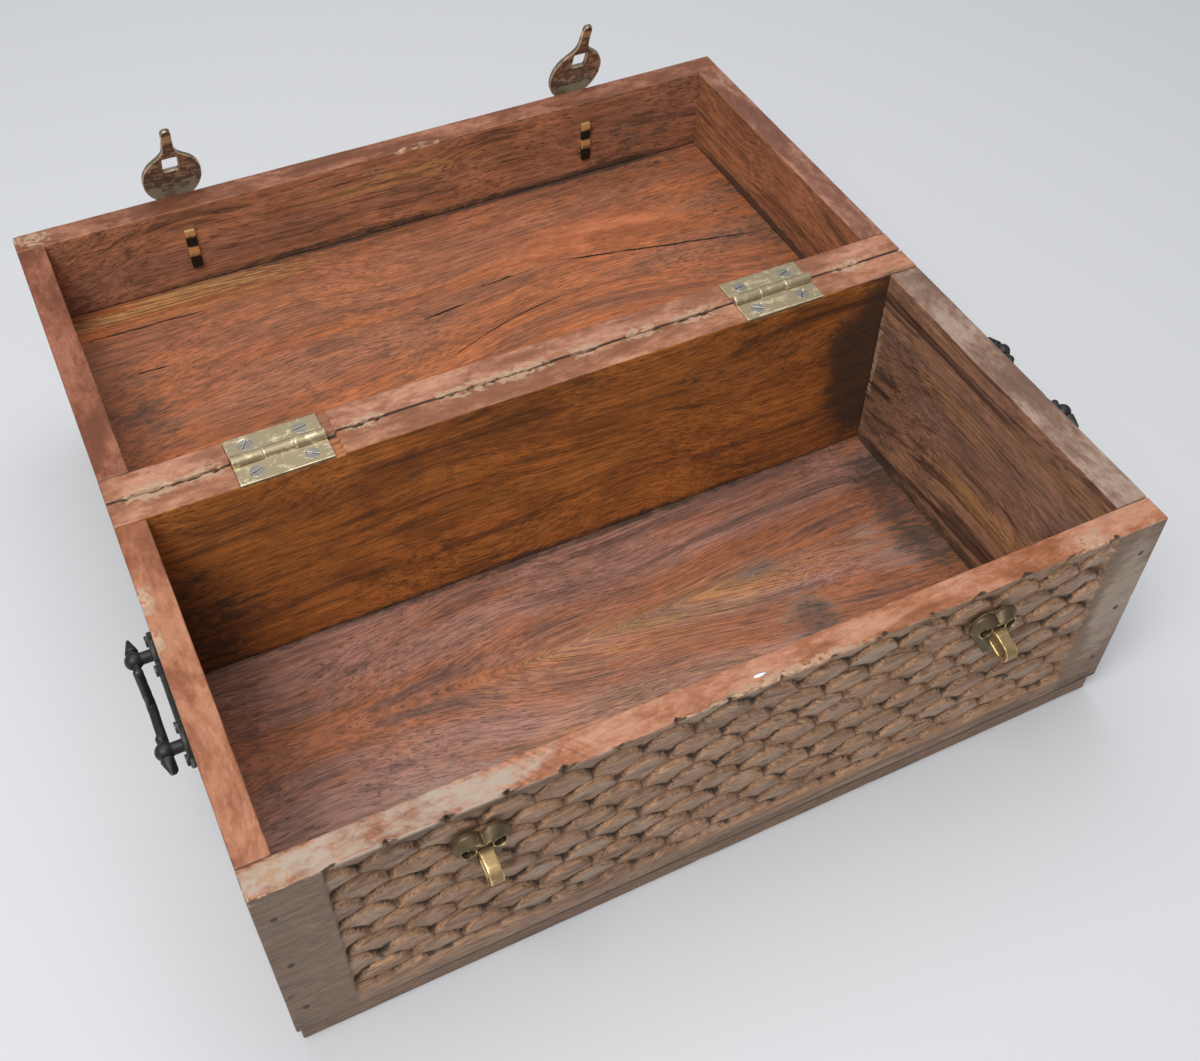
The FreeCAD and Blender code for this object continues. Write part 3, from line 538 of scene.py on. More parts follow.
class AgedMetalGroup(ShaderGroup):
    """Old metal: dark patina in the hollows and over the flats, in places painted shade, and bright where it
    is rubbed, in places with painted light.
    """

    COLOURS = ("Bright", "Patina", "Dark")

    def __init__(self) -> None:
        """Build the group once."""
        colours = dict.fromkeys(self.COLOURS, "colour")
        inputs = {"Vector": "vector", **colours, "Rubbed": "value", "Tarnish": "value"}
        super().__init__("AgedMetal", inputs, self.LOOKS)
        graph, entry = self.graph, self.entry
        cloud = graph.noise(entry["Vector"], (170.0, 170.0, 170.0), 5.0, 0.6, 0.6)
        streak = graph.noise(entry["Vector"], (45.0, 800.0, 800.0), 3.0)
        speck = graph.noise(entry["Vector"], (900.0, 900.0, 900.0), 3.0)
        shift = (cloud - 0.5) * 2.6 + (streak - 0.5) * 1.2
        shine = graph.ease(graph.mask(Mask.WEAR) * 1.3 + shift + entry["Rubbed"], 0.25, 0.85)
        sunk = graph.mask(Mask.GRIME) + (speck - 0.5) * 0.7 + shift * -0.3
        dark = graph.ease(sunk + entry["Tarnish"], 0.30, 0.90)
        dull = (1.0 - shine) * 0.20 + dark * 0.22 + speck * 0.12
        self.finish(
            Color=graph.mix(dark, graph.mix(shine, entry["Patina"], entry["Bright"]), entry["Dark"]),
            Roughness=graph.math("ADD", dull, 0.24, True),
            Height=cloud + speck * 0.5,
        )


@dataclass(frozen=True)
class Shaders:
    """The shared shader groups."""

    wood: AgedWoodGroup
    crack: CrackGroup
    metal: AgedMetalGroup


def opaque(colour: Triple) -> tuple[float, float, float, float]:
    """Add a full alpha to a colour."""
    return (*colour, 1.0)


def new_material(name: str) -> tuple[bpy.types.Material, Graph, bpy.types.NodeInputs]:
    """Make a material.

    Args:
        name: Name of the material.

    Returns:
        The material, its nodes and the inputs of its surface shader.
    """
    material = bpy.data.materials.new(name)
    material.use_nodes = True
    tree = material.node_tree
    return material, Graph(tree), tree.nodes["Principled BSDF"].inputs


@dataclass(frozen=True)
class Finish:
    """What wood and metal finishes share."""

    name: str

    def dress(
        self,
        graph: Graph,
        surface: bpy.types.NodeInputs,
        looks: Wires,
        depth: float,
        strength: float,
    ) -> None:
        """Feed a surface shader from a shared group.

        Args:
            graph: The material's nodes.
            surface: Inputs of the material's surface shader.
            looks: Outputs of the placed group.
            depth: Depth of the relief in metres.
            strength: Share of the relief that shows.
        """
        bump = {"Strength": strength, "Distance": depth, "Height": looks["Height"]}
        graph.feed(surface["Base Color"], looks["Color"])
        graph.feed(surface["Roughness"], looks["Roughness"])
        graph.feed(surface["Normal"], graph.add("ShaderNodeBump", bump)["Normal"])

    def colours(self, names: Sequence[str]) -> dict[str, Value]:
        """Colours of this finish for the group's inputs."""
        return {name: opaque(getattr(self, name.lower().replace(" ", "_"))) for name in names}


@dataclass(frozen=True)
class Crack:
    """A drying crack: its two ends along the grain, its place across it and its bend, in millimetres."""

    start: float
    end: float
    across: float
    slope: float = 0.0
    bow: float = 0.0
    wander: float = 4.0
    width: float = 0.7

    TAPER: ClassVar[float] = 0.22

    def placed(self, graph: Graph, vector: Wire, group: CrackGroup) -> Wire:
        """Place the crack in a material.

        Args:
            graph: The material's nodes.
            vector: Coordinates along the grain, in metres.
            group: The shared crack group.

        Returns:
            The crack's mask.
        """
        length = (self.end - self.start) * MM
        bow = 4.0 * self.bow * MM / length**2
        ends = (self.start * MM, self.end * MM, self.across * MM, self.slope, bow)
        values = (*ends, self.wander * MM, self.width * MM, self.TAPER * (self.end - self.start) * MM)
        return group.placed(graph, {"Vector": vector, **dict(zip(group.VALUES, values))})["Mask"]


@dataclass(frozen=True)
class Flow:
    """A place where the fibres run in curves: its middle along and across the grain, in millimetres."""

    along: float
    across: float
    reach: float = 70.0

    def warp(self, graph: Graph, vector: Wire) -> Wire:
        """Bend coordinates so that they follow the curved fibres.

        Args:
            graph: The material's nodes.
            vector: Coordinates along the straight grain, in metres.

        Returns:
            The bent coordinates.
        """
        x, y, z = graph.split(vector)
        across = y - self.across * MM
        near = graph.math("EXPONENT", graph.math("ABSOLUTE", across) * (-1.0 / (self.reach * MM)))
        return graph.joined(x, self.bent_across(graph, x - self.along * MM, across, near), z)

    def bent_across(self, graph: Graph, along: Wire, across: Wire, near: Wire) -> Wire:
        """Place across the grain after the fibres are bent; straight boards keep it."""
        return across


@dataclass(frozen=True)
class Flame(Flow):
    """Fibres that part at a point into nested tips, whose two sides spread at different slopes."""

    front_slope: float = 0.34
    back_slope: float = 0.08
    tip: float = 2.0

    def bent_across(self, graph: Graph, along: Wire, across: Wire, near: Wire) -> Wire:
        """Fold the place across the grain about the tips' middle line and spread it past the point.

        Args:
            graph: The material's nodes.
            along: Distance past the point.
            across: Distance from the middle line.
            near: Share of the bend.

        Returns:
            The bent place.
        """
        round_tip = (self.tip * MM) ** 2
        soft = 2.0 * self.tip * MM
        folded = graph.math("SQRT", across * across + round_tip)
        reached = graph.math("SQRT", along * along + 9.0 * round_tip)
        slope = graph.ease(across, -soft, soft, -self.front_slope, -self.back_slope)
        return folded + (along + reached) * near * 0.5 * slope


@dataclass(frozen=True)
class Crest(Flow):
    """Fibres that rise over one place and run straight again on both sides."""

    height: float = 40.0
    width: float = 100.0

    def bent_across(self, graph: Graph, along: Wire, across: Wire, near: Wire) -> Wire:
        """Lower the place across the grain by a bell-shaped rise.

        Args:
            graph: The material's nodes.
            along: Distance from the middle.
            across: Distance from the middle line.
            near: Share of the bend.

        Returns:
            The bent place.
        """
        share = along * (1.0 / (self.width * MM))
        bell = graph.math("EXPONENT", share * share * -1.0)
        return across + bell * near * (-self.height * MM)


@dataclass(frozen=True)
class WoodFinish(Finish):
    """Colours and figure of one board's wood."""

    dark: Triple
    mid: Triple
    light: Triple
    grain: Grain = Grain.ALONG_LENGTH
    offset: Triple = (0.0, 0.0, 0.0)
    figure: float = 0.7
    gold: Triple = (0.46, 0.245, 0.095)
    rim: Triple = (0.37, 0.160, 0.105)
    pale_rim: Triple = (0.38, 0.215, 0.160)
    weathered: Triple = (0.185, 0.130, 0.094)
    raw: Triple = (0.62, 0.40, 0.26)
    soot_and_shade: Triple = (0.060, 0.042, 0.032)
    dust: Triple = (0.28, 0.235, 0.205)
    saw: float = 0.0
    flow: Flow | None = None
    cracks: tuple[Crack, ...] = ()

    RELIEF: ClassVar[tuple[float, float]] = (0.0007, 0.6)
    SPECULAR: ClassVar[float] = 0.30

    def material(self, shaders: Shaders) -> bpy.types.Material:
        """Make the material of this wood.

        Args:
            shaders: The shared shader groups.

        Returns:
            The finished material.
        """
        material, graph, surface = new_material(self.name)
        straight = graph.turned(graph.place(), self.grain.value)
        curved = self.flow.warp(graph, straight) if self.flow else straight
        values = {"Vector": graph.vectors("ADD", curved, self.offset), "Figure": self.figure, "Saw": self.saw}
        values |= self.colours(shaders.wood.COLOURS)
        for crack in self.cracks:
            mask = crack.placed(graph, straight, shaders.crack)
            values["Crack"] = graph.math("MAXIMUM", mask, values.get("Crack", 0.0))
        self.dress(graph, surface, shaders.wood.placed(graph, values), *self.RELIEF)
        surface["Specular IOR Level"].default_value = self.SPECULAR
        return material


@dataclass(frozen=True)
class MetalFinish(Finish):
    """Colours and wear of one metal."""

    bright: Triple
    patina: Triple
    dark: Triple
    rubbed: float = 0.0
    tarnish: float = 0.0
    metallic: float = 1.0
    relief: float = 0.00012

    RELIEF_STRENGTH: ClassVar[float] = 0.5

    def material(self, shaders: Shaders) -> bpy.types.Material:
        """Make the material of this metal.

        Args:
            shaders: The shared shader groups.

        Returns:
            The finished material.
        """
        material, graph, surface = new_material(self.name)
        values = {"Vector": graph.place(), "Rubbed": self.rubbed, "Tarnish": self.tarnish}
        looks = shaders.metal.placed(graph, values | self.colours(shaders.metal.COLOURS))
        self.dress(graph, surface, looks, self.relief, self.RELIEF_STRENGTH)
        surface["Metallic"].default_value = self.metallic
        return material


class Metal(Enum):
    """The metal finishes of the chest."""

    HINGE = MetalFinish(
        "hinge_brass", (0.90, 0.77, 0.50), (0.42, 0.34, 0.215), (0.09, 0.065, 0.036), 0.22, 0.16, 0.75
    )
    LOCK = MetalFinish(
        "lock_brass", (0.85, 0.60, 0.26), (0.15, 0.11, 0.06), (0.03, 0.024, 0.018), -0.05, 0.25, 0.70
    )
    HASP = MetalFinish(
        "hasp_brass", (0.70, 0.57, 0.38), (0.19, 0.16, 0.115), (0.06, 0.052, 0.042), -0.04, 0.16, 0.40
    )
    STRAP = MetalFinish(
        "strap_brass", (0.88, 0.62, 0.27), (0.36, 0.245, 0.115), (0.028, 0.022, 0.016), 0.05, 0.10, 0.65
    )
    STEEL = MetalFinish(
        "screw_steel", (0.52, 0.49, 0.46), (0.32, 0.295, 0.265), (0.04, 0.036, 0.032), 0.15, 0.05, 0.80
    )
    IRON = MetalFinish(
        "handle_iron", (0.09, 0.086, 0.08), (0.038, 0.037, 0.036), (0.06, 0.036, 0.022), 0.0, -0.1, 0.55, 2e-4
    )
    NAIL = MetalFinish(
        "dark_nails", (0.12, 0.105, 0.09), (0.065, 0.05, 0.04), (0.07, 0.04, 0.025), 0.0, 0.1, 0.5
    )
    BRIGHT = MetalFinish("bright_nail", (0.85, 0.85, 0.86), (0.55, 0.55, 0.55), (0.2, 0.2, 0.2), 0.6, -0.3)


@dataclass(frozen=True)
class Spot:
    """An egg-shaped place with soft limits and a strength, in millimetres."""

    centre: Sequence[float]
    reach: Sequence[float]
    amount: float

    def strength(self, points: Array, core: float) -> Array:
        """Strength of the spot at each point, full within a share of its reach."""
        away = np.linalg.norm((points - self.centre) / self.reach, axis=1)
        return self.amount * (1.0 - smoothstep(core, 1.0, away))


def spots(*rows: Sequence[float]) -> tuple[Spot, ...]:
    """Spots from rows of three numbers for the centre, three for the reach and the strength."""
    return tuple(Spot(row[:3], row[3:6], row[6]) for row in rows)


Marks = Mapping[Mask, tuple[Spot, ...]]


@dataclass
class Surface:
    """Points of a board while it is shaped: first places, places now, outward directions and masks."""

    first: Array
    points: Array
    outward: Array
    masks: dict[Mask, Array]


@dataclass
class Board:
    """One board of the chest, with rounded, chipped edges and slightly uneven faces, in millimetres."""

    node: str
    finish: WoodFinish
    outside: Facing
    seed: int
    marks: Marks = field(default_factory=dict)
    chips: tuple[Spot, ...] = ()
    step: float = 3.0
    step_along: float = 0.0
    edge_radius: float = 0.9
    weather: float = 0.85
    grown: tuple[Triple, Triple] = ((0.0, 0.0, 0.0), (0.0, 0.0, 0.0))
    cuts: tuple[float, ...] = ()
    shapers: list[Callable[[Surface], None]] = field(default_factory=list)

    END_OFFSETS: ClassVar[Array] = np.array((0.0, 0.45, 1.0, 1.7, 2.6, 3.8, 5.4))
    CHIP_DEPTH: ClassVar[float] = 2.2
    CHIP_SHARE: ClassVar[float] = 0.26
    CHIP_CORE: ClassVar[float] = 0.5
    MARK_CORE: ClassVar[float] = 0.35
    UNEVEN: ClassVar[float] = 0.25

    def samples(self, low: float, high: float, step: float, cuts: Sequence[float]) -> Array:
        """Places of the grid lines along one side, closer together near its ends.

        Args:
            low: Start of the side.
            high: End of the side.
            step: Distance of the lines away from the ends.
            cuts: Further places where a line has to run.

        Returns:
            Rising places of the grid lines.
        """
        ends = self.END_OFFSETS
        inner_low, inner_high = low + ends[-1], high - ends[-1]
        middle = np.linspace(inner_low, inner_high, max(2, round((inner_high - inner_low) / step)) + 1)
        lines = np.unique(np.concatenate((low + ends[:-1], middle, high - ends[-2::-1], cuts)).round(4))
        near_cut = np.array([min((abs(line - cut) for cut in cuts), default=9.0) for line in lines])
        return lines[(near_cut == 0.0) | (near_cut > 0.3)]

    @staticmethod
    def side(counts: Sequence[int], axis: int, far: bool) -> Array:
        """Quads over one side of a block of grid lines.

        Args:
            counts: Number of grid lines along each axis.
            axis: Axis that the side is square to.
            far: Whether it is the side at the axis's high end.

        Returns:
            Line numbers along the three axes, for four corners in each row.
        """
        first, second = (axis + 1) % 3, (axis + 2) % 3
        grid = np.meshgrid(np.arange(counts[first] - 1), np.arange(counts[second] - 1), indexing="ij")
        a, b = (part.ravel() for part in grid)
        quads = np.zeros((len(a), 4, 3), dtype=np.int64)
        turn = ((0, 0), (1, 0), (1, 1), (0, 1)) if far else ((0, 0), (0, 1), (1, 1), (1, 0))
        quads[:, :, axis] = counts[axis] - 1 if far else 0
        for corner, (step_a, step_b) in enumerate(turn):
            quads[:, corner, first] = a + step_a
            quads[:, corner, second] = b + step_b
        return quads

    def polygons(self, lines: list[Array]) -> tuple[list[Array], list[Array]]:
        """Lay faces over the six sides of the block.

        Args:
            lines: Grid lines along each of the three axes.

        Returns:
            The grid lines that the faces count in, and the faces as rows of line numbers.
        """
        counts = [len(line) for line in lines]
        sides = product(range(3), (False, True))
        return lines, [quad for axis, far in sides for quad in self.side(counts, axis, far)]

    def block(self, lines: list[Array]) -> tuple[Array, list[list[int]]]:
        """Make the sharp block.

        Args:
            lines: Grid lines along each of the three axes.

        Returns:
            The points and the faces' point numbers.
        """
        lines, polygons = self.polygons(lines)
        counts = [len(line) for line in lines]
        places = np.ravel_multi_index(np.concatenate(polygons).T, counts)
        numbers, corners = np.unique(places, return_inverse=True)
        limits = np.cumsum([len(polygon) for polygon in polygons])[:-1]
        faces = [face.tolist() for face in np.split(corners.ravel(), limits)]
        picks = np.unravel_index(numbers, counts)
        return np.stack([line[pick] for line, pick in zip(lines, picks)], axis=1), faces

    def build(self, shaders: Shaders) -> None:
        """Shape, dress and place the board.

        Args:
            shaders: The shared shader groups.
        """
        low, high = (np.array(corner) / MM + extra for corner, extra in zip(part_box(self.node), self.grown))
        lines = [self.samples(low[0], high[0], self.step_along or self.step, self.cuts)]
        lines += [self.samples(low[axis], high[axis], self.step, ()) for axis in (1, 2)]
        first, faces = self.block(lines)
        surface = self.worn(first, low, high)
        self.stain(surface)
        for shaper in self.shapers:
            shaper(surface)
        mesh = bpy.data.meshes.new(f"{self.node}_worn")
        mesh.from_pydata((surface.points * MM).tolist(), [], faces)
        mesh.shade_smooth()
        for mask, values in surface.masks.items():
            write_mask(mesh, mask, values)
        mesh.materials.append(self.finish.material(shaders))
        put_in_place(linked(mesh.name, mesh), self.node)

    def worn(self, first: Array, low: Array, high: Array) -> Surface:
        """Round and chip the edges and sink the faces a little.

        Args:
            first: Points of the sharp block.
            low: Lowest corner of the block.
            high: Highest corner of the block.

        Returns:
            The shaped surface with its wear.
        """
        noise = Noise(self.seed)
        radius = self.edge_radius * (0.6 + 0.8 * noise.value(first / 11.0))
        flaw = noise.layered(first / 17.0 + 40.0)
        torn = self.CHIP_DEPTH * smoothstep(1.0 - self.CHIP_SHARE, 1.0 - 0.4 * self.CHIP_SHARE, flaw)
        torn = torn * (0.55 + 0.9 * noise.value(first / 2.3 + 9.0))
        broken = smoothstep(0.40, 0.60, noise.layered(first / 3.0 + 5.0))
        for chip in self.chips:
            torn = torn + chip.strength(first, self.CHIP_CORE) * (broken if chip.amount > 0.0 else 1.0)
        radius = np.clip(radius + torn, 0.25, 0.45 * float(np.min(high - low)))[:, None]
        core = np.clip(first, low + radius, high - radius)
        reach = first - core
        length = np.linalg.norm(reach, axis=1, keepdims=True)
        outward = reach / length
        lost = (length - radius)[:, 0]
        sink = self.UNEVEN * noise.layered(first / 45.0 + 80.0, 2)
        masks = {mask: np.zeros(len(first)) for mask in Mask}
        masks[Mask.WEAR] = smoothstep(0.25, 0.9, lost) * smoothstep(0.25, 1.2, torn)
        return Surface(first, core + outward * (radius - sink[:, None]), outward, masks)

    def stain(self, surface: Surface) -> None:
        """Set the masks of the outside, the rim and the marks.

        Args:
            surface: The board's surface.
        """
        inward = -np.array(self.outside.value)
        on_rim = smoothstep(0.55, 0.9, surface.outward[:, 2]) * (inward[2] < 0.5)
        inside = np.maximum(smoothstep(0.3, 0.8, surface.outward @ inward), on_rim)
        surface.masks[Mask.WEATHER] = self.weather * (1.0 - inside)
        surface.masks[Mask.RIM] = on_rim
        for mask, places in self.marks.items():
            for spot in places:
                surface.masks[mask] += spot.strength(surface.points, self.MARK_CORE)


@dataclass(frozen=True)
class ScaleCarving:
    """Rows of overlapping carved scales on the front, in millimetres from its left end and rim."""

    left: float = 31.4
    right: float = 440.5
    foot: float = 121.0
    pitch: float = 27.1
    first_middle: float = 32.3
    first_top: float = 9.6
    row: float = 13.5
    radius: float = 14.1
    lift: float = 0.1
    fall: float = 5.0
    belly: float = 0.4
    shoulder: float = 1.1
    groove_depth: float = 1.5
    groove_width: float = 1.5
    border: float = 1.2
    ledge: float = 8.0
    notch: float = 1.7
    seed: int = 71

    FLAT: ClassVar[float] = 1e-6

    def __call__(self, surface: Surface) -> None:
        """Carve the front of a board and notch the edge of its rim.

        Args:
            surface: The board's surface, whose front faces -Y.
        """
        behind = surface.first[:, 1] - surface.first[:, 1].min()
        down = surface.first[:, 2].max() - surface.first[:, 2]
        picked = np.nonzero((behind < self.ledge) & ((behind < self.FLAT) | (down < self.FLAT)))[0]
        behind, down = behind[picked], down[picked]
        along = surface.first[picked, 0] - surface.first[:, 0].min()
        share = self.field(along, down)
        depth, painted_shade, dust = self.relief(along, down)
        near_rim = 1.0 - smoothstep(1.0, 5.0, down)
        notch = self.notches(along) * near_rim
        depth = depth * (1.0 - 0.75 * near_rim) + self.notch * notch
        surface.points[picked, 1] += depth * share * (1.0 - behind / self.ledge)
        front = share * (behind < 1.0)
        # Painted shade in the crevices between the scales, towards each scale's foot and in the notches of
        # the rim.
        surface.masks[Mask.GRIME][picked] += (painted_shade + notch) * front
        surface.masks[Mask.DUST][picked] += dust * front
        border = self.field(along, np.minimum(down, self.foot - self.border))
        surface.masks[Mask.WEATHER][picked] *= 1.0 - 0.6 * border - 0.2 * front

    def relief(self, along: Array, down: Array) -> tuple[Array, Array, Array]:
        """Work out the carving.

        Args:
            along: Distances from the left end.
            down: Distances below the rim.

        Returns:
            Depth, grime and dust at each place.
        """
        noise = Noise(self.seed)
        places = np.stack((along, down, np.zeros(len(along))), axis=1)
        x = along + 4.0 * (noise.value(places / 19.0) - 0.5)
        v = down + 3.6 * (noise.value(places / 16.0 + 50.0) - 0.5)
        row = np.ceil((v - self.first_top - self.radius) / self.row)
        middle_x, middle_v = self.middle(x, row)
        row = np.where(np.hypot(x - middle_x, v - middle_v) < self.radius, row, row - 1.0)
        middle_x, middle_v = self.middle(x, row)
        half = 0.5 * self.pitch
        aside = np.abs(x - middle_x) / half
        inside = np.maximum(self.radius - np.hypot(x - middle_x, v - middle_v), 0.0)
        outside = np.maximum(np.hypot(half * (1.0 - aside), v - middle_v - self.row) - self.radius, 0.0)
        fallen = np.clip((v - middle_v + self.radius) / (2.0 * self.row), 0.0, 1.0)
        tile = np.stack((np.round(middle_x / half), np.round(middle_v / self.row), np.ones(len(x))), axis=1)
        chance = noise.value(tile * 7.3 + 0.5)
        depth = 0.6 * chance + self.surface_depth(fallen, aside)
        above = 0.4 + self.surface_depth(np.minimum(fallen + 0.5, 1.0), 1.0 - aside)
        edge = (1.0 - np.clip(inside / self.shoulder, 0.0, 1.0)) ** 2
        depth = depth + (above - depth) * edge
        cut = self.groove_depth * (0.4 + 0.9 * chance)
        depth = depth + cut * np.exp(-outside / self.groove_width) * (1.0 - edge * (inside > 0.0))
        stroke = noise.layered(places / (8.0, 1.8, 1.0) + 31.0, 2)
        depth = depth + 0.5 * noise.layered(places / 5.0) + 0.8 * stroke
        flaw = noise.layered(places / 9.0 + 70.0)
        parting = 1.0 - 0.85 * smoothstep(0.25, 0.80, aside)
        # Painted shade: dark in the crevice above each scale's top edge, where the scales meet, and towards
        # each scale's foot.
        painted_shade = 1.1 * np.exp(-outside / 2.8) * parting * (0.35 + 0.65 * smoothstep(0.38, 0.62, flaw))
        painted_shade = painted_shade + 0.6 * np.exp(-inside / 0.8) * smoothstep(0.60, 0.98, aside)
        painted_shade = painted_shade + 0.22 * smoothstep(0.55, 1.0, fallen)
        # Paler towards the top of each scale.
        dust = 0.34 * (1.0 - 0.85 * smoothstep(0.40, 0.85, fallen)) * smoothstep(0.2, 1.6, inside)
        return depth, painted_shade, dust * (0.6 + 0.8 * chance)

    def notches(self, along: Array) -> Array:
        """Share of the cuts in the rim where two scales of the topmost row meet."""
        middle_x, _ = self.middle(along, np.full(len(along), -1.0))
        return smoothstep(0.90, 0.98, np.abs(along - middle_x) / (0.5 * self.pitch))

    def surface_depth(self, fallen: Array, aside: Array) -> Array:
        """Depth of a scale's own surface, which falls towards its foot and its flanks."""
        return self.lift + self.fall * fallen**1.6 + self.belly * aside**2

    def middle(self, x: Array, row: Array) -> tuple[Array, Array]:
        """Find the nearest scale in a row; rows are shifted by half a scale in turn.

        Args:
            x: Distances from the left end.
            row: Number of the row at each place.

        Returns:
            The scale's middle along the board and below the rim.
        """
        shift = self.first_middle + 0.5 * self.pitch * (row % 2.0)
        middle_x = shift + self.pitch * np.round((x - shift) / self.pitch)
        return middle_x, self.first_top + self.radius + row * self.row

    def field(self, along: Array, down: Array) -> Array:
        """Find the share of the carving: 1 in the field and 0 on the plain borders.

        Args:
            along: Distances from the left end.
            down: Distances below the rim.

        Returns:
            The share at each place.
        """
        limits = (along - self.left, self.right - along, self.foot - down)
        left, right, foot = (smoothstep(0.0, self.border, limit) for limit in limits)
        return left * right * foot


@dataclass
class CarvedBoard(Board):
    """A board whose front has a closer grid where it is carved."""

    carving: ScaleCarving = field(default_factory=ScaleCarving)

    PARTS: ClassVar[int] = 3
    MARGIN: ClassVar[float] = 3.0
    LEAST_SPACE: ClassVar[float] = 1.5

    def __post_init__(self) -> None:
        """Carve after the edges are worn."""
        self.shapers.append(self.carving)

    def polygons(self, lines: list[Array]) -> tuple[list[Array], list[Array]]:
        """Lay faces over the six sides, on the front with a closer grid than on the rest.

        Args:
            lines: Grid lines along each of the three axes.

        Returns:
            The grid lines that the faces count in, and the faces as rows of line numbers.
        """
        low, high, carving = lines[0][0], lines[2][-1], self.carving
        close = [
            self.divided(lines[0], low + carving.left - self.MARGIN, low + carving.right + self.MARGIN),
            lines[1],
            self.divided(lines[2], high - carving.foot - self.MARGIN, high),
        ]
        steps = [np.searchsorted(fine, coarse) for fine, coarse in zip(close, lines)]
        counts = [len(line) for line in lines]
        polygons = list(self.side([len(line) for line in close], 1, False))
        for axis, far in product(range(3), (False, True)):
            if (axis, far) != (1, False):
                quads = self.side(counts, axis, far)
                quads = np.stack([steps[part][quads[:, :, part]] for part in range(3)], axis=2)
                polygons += [self.joined(quad) for quad in quads]
        return close, polygons

    def divided(self, lines: Array, low: float, high: float) -> Array:
        """Split the spaces between grid lines that lie within two limits.

        Args:
            lines: Rising places of the grid lines.
            low: The lower limit.
            high: The upper limit.

        Returns:
            Places of all lines after the split.
        """
        pieces = []
        for start, end in zip(lines[:-1], lines[1:]):
            wide = low <= start and end <= high and end - start > self.LEAST_SPACE
            pieces.append(np.linspace(start, end, self.PARTS if wide else 1, endpoint=False))
        return np.concatenate((*pieces, lines[-1:]))

    @staticmethod
    def joined(quad: Array) -> Array:
        """Add the front's closer points to the edge of a quad that meets the front.

        Args:
            quad: Line numbers of the four corners.

        Returns:
            Line numbers of all corners.
        """
        corners = []
        for start, end in zip(quad, np.roll(quad, -1, axis=0)):
            gaps = np.abs(end - start).max() if start[1] == 0 and end[1] == 0 else 1
            corners += [start + (end - start) * step // gaps for step in range(gaps)]
        return np.array(corners)


@dataclass(frozen=True)
class HingeRecess:
    """Mortises and knuckle hollows for the hinges in a back board, in millimetres."""

    leaf_thick: float = 1.85
    zone: float = 8.0
    hollow: float = 3.9
    axis: tuple[float, float] = (118.3, 148.2)

    def __call__(self, surface: Surface) -> None:
        """Sink the rim where the leaves lie.

        Args:
            surface: The back board's surface.
        """
        low = surface.first[:, 2].max() - self.zone
        along = surface.first[:, 0]
        for start, end in HINGE_SPANS:
            inside = (along > start - 0.01) & (along < end + 0.01)
            height = surface.points[:, 2] - low
            high = inside & (height > 0.0)
            surface.points[high, 2] = low + height[high] * (1.0 - self.leaf_thick / self.zone)
            offset = surface.points[:, 1:] - self.axis
            away = np.linalg.norm(offset, axis=1)
            near = inside & (away < self.hollow)
            surface.points[near, 1:] = self.axis + offset[near] * (self.hollow / away[near])[:, None]
            surface.masks[Mask.RIM][high] *= 0.3
            surface.masks[Mask.GRIME][high] += 0.25


Tint = Callable[[Array], dict[Mask, Array]]


